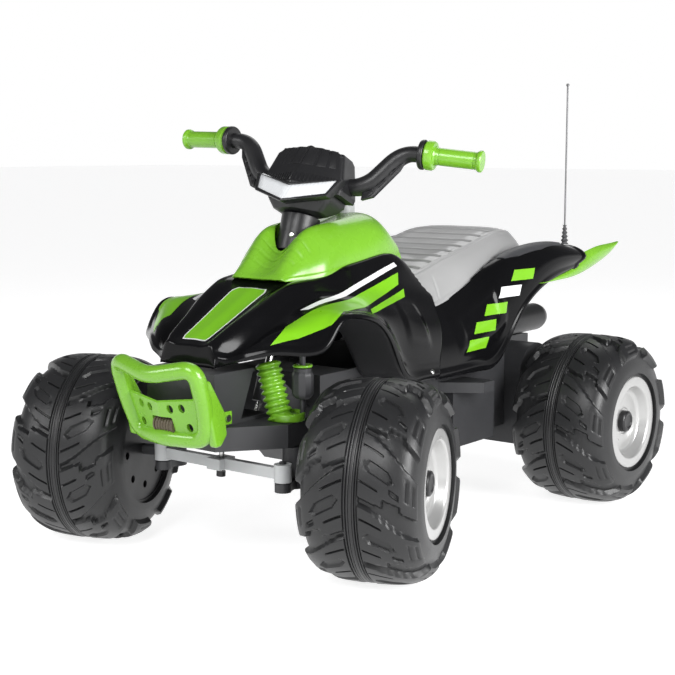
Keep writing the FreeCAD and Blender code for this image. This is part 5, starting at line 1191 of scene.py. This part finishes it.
VINYL = {"lime": vinyl_lime, "lamp_white": vinyl_white, "frame_dark": horn_grey}
front_ground, rear_ground = ground_of(front_body), ground_of(rear_body)
ABOVE = (0, 0, 1)
BONNET = [(-92, -24), (-84, -27), (44, -36), (55, -30), (55, 30), (44, 36), (-84, 27), (-92, 24)]
BONNET_EDGE = [(u * 1.03 + 0.5, v * 1.07) for u, v in BONNET]
laid("bonnet_edge", BONNET_EDGE, ABOVE, front_ground, "lamp_white", lift=0.35)
laid("bonnet_panel", BONNET, ABOVE, front_ground, "lime", lift=0.65)
FLANK = [("flank_sweep", "lime", [(-54, 206), (-20, 193), (26, 186), (66, 204), (150, 214), (306, 260),
                                  (318, 282), (150, 244), (44, 236), (-14, 226)]),
         ("flank_line", "lamp_white", [(46, 244), (150, 254), (322, 294), (316, 301), (150, 264), (40, 251)]),
         ("flank_tail", "lime", [(150, 196), (312, 236), (320, 252), (160, 208)])]
LADDER = [[(back, up), (back + 66 - 3 * k, up + 2), (back + 76 - 3 * k, up + 23), (back + 16, up + 21)]
          for k, (back, up) in enumerate(((452, 328), (486, 359), (528, 390), (574, 421), (618, 452)))]
WHITE_BAR = 3
for side_name, side in SIDES:
    for name, slot, outline in FLANK:
        laid(f"{side_name}_{name}", outline, (0.75 * side, 0, 0.66), front_ground, slot)
    for k, outline in enumerate(LADDER):
        laid(f"{side_name}_ladder_{k + 1}", outline, (side, 0, 0), rear_ground,
             "lamp_white" if k == WHITE_BAR else "lime")
print("stickers laid")

# %% [markdown]
# On top of each horn lies a grained grey plate, laid on the shell as the stickers are, only thicker. Screws
# hold the front body at the foot of its seam, and one sits in the column sleeve.


# %% Horn plates and screws
def screw(name, spot, way, body):
    """A domed screw head on a spot in metres, facing a way."""
    head = turned(softened([(0, -1), (5, -1), (5, 1.4), (3.4, 2.8), (0, 3)], 0.5), 24)
    return hang(name, head, body, "steel", Matrix.Translation(spot) @ pointed(way))


HORN = [(628, 150), (650, 142), (770, 140), (806, 148), (815, 165), (812, 190), (790, 204), (720, 200),
        (660, 182), (632, 166)]
SCREW_BACK, SCREW_UP = 0.318, 0.309
SLEEVE_RADIUS, SLEEVE_SCREW_UP = 33.9 * MM, -21 * MM
for side_name, side in SIDES:
    laid(f"{side_name}_horn_plate", [(u, -side * v) for u, v in HORN], ABOVE, rear_ground, "frame_dark",
         lift=2.2, thick=3.2)
    start = Vector((side, KINGPIN_Y + SCREW_BACK, SCREW_UP))
    spot, way, _, _ = front_ground.ray_cast(start, Vector((-side, 0, 0)))
    screw(f"{side_name}_body_screw", spot, way if way.x * side > 0 else -way, "chassis")
aside = math.radians(12)
facing = Vector((math.sin(aside), -math.cos(aside), 0))
sleeve_spot = facing * SLEEVE_RADIUS + Vector((0, 0, SLEEVE_SCREW_UP))
screw("sleeve_screw", column @ sleeve_spot, column.to_3x3() @ facing, "steering")
print("horn plates and screws set")

# %% [markdown]
# The CAD solids that stay as they are still need a finish. Each wears that of its slot, and only the aerial
# gets a lighter grey of its own.

# %% Finishes for the solids
for name, obj in cad.items():
    for spot in obj.material_slots:
        spot.material = DRESS.get(spot.material.name.split(".")[0] if spot.material else "", frame_grey)
        if name.startswith("aerial"):
            spot.material = aerial_grey
print("dressed", len(cad), "solids")

# %% [markdown]
# A pale studio: a floor that glows a little and runs out to white, a broad soft box at the vehicle's left,
# and three more that draw the long highlights on the shells. The sky is white near the horizon and dim
# overhead, because gloss black mirrors all that is above it and would turn grey under an even white dome.

# %% Studio
studio_white = moulded("studio_white", (0.5, 0.5, 0.5), 0.7, 60, 0.02, drift=0.01, shine=0.1)
studio_shader = studio_white.node_tree.nodes["Principled BSDF"]
studio_shader.inputs["Emission Color"].default_value = (1, 1, 1, 1)
FLOOR_GLOW, FAR = 0.84, 40
studio_shader.inputs["Emission Strength"].default_value = FLOOR_GLOW
corners = [(-FAR, -FAR, 0), (FAR, -FAR, 0), (FAR, FAR, 0), (-FAR, FAR, 0)]
floor = hang("studio_floor", raw(corners, [(0, 1, 2, 3)]), "chassis", "lime", material=studio_white)
LIGHTS = (("side_light", (3.0, -0.4, 1.4), 1.6, 120), ("key_light", (0.8, -3.0, 2.4), 1.4, 60),
          ("back_light", (-1.4, 2.4, 2.9), 1.8, 18), ("front_light", (-1.6, -3.0, 1.8), 1.0, 26))
AIM = Vector((0, 0, 0.35))
for name, spot, size, power in LIGHTS:
    lamp = bpy.data.objects.new(name, bpy.data.lights.new(name, "AREA"))
    lamp.data.size = size
    lamp.data.energy = power
    lamp.location = spot
    lamp.rotation_euler = (AIM - Vector(spot)).to_track_quat("-Z", "Y").to_euler()
    bpy.context.scene.collection.objects.link(lamp)
sky = bpy.data.worlds.new("studio_sky")
sky.use_nodes = True
sky_tree = sky.node_tree
way_up = sky_tree.nodes.new("ShaderNodeSeparateXYZ")
sky_tree.links.new(sky_tree.nodes.new("ShaderNodeTexCoord").outputs["Generated"], way_up.inputs["Vector"])
dome = sky_tree.nodes.new("ShaderNodeValToRGB")
HORIZON, OVERHEAD = (0.1, (1, 1, 1, 1)), (0.3, (0.13, 0.13, 0.135, 1))
for stop, (height, colour) in zip(dome.color_ramp.elements, (HORIZON, OVERHEAD)):
    stop.position, stop.color = height, colour
sky_tree.links.new(way_up.outputs["Z"], dome.inputs["Fac"])
sky_tree.links.new(dome.outputs["Color"], sky_tree.nodes["Background"].inputs["Color"])
sky_tree.nodes["Background"].inputs["Strength"].default_value = 1.0
bpy.context.scene.world = sky
bpy.context.scene.view_settings.view_transform = "Standard"
print("studio ready:", len(LIGHTS), "lights")
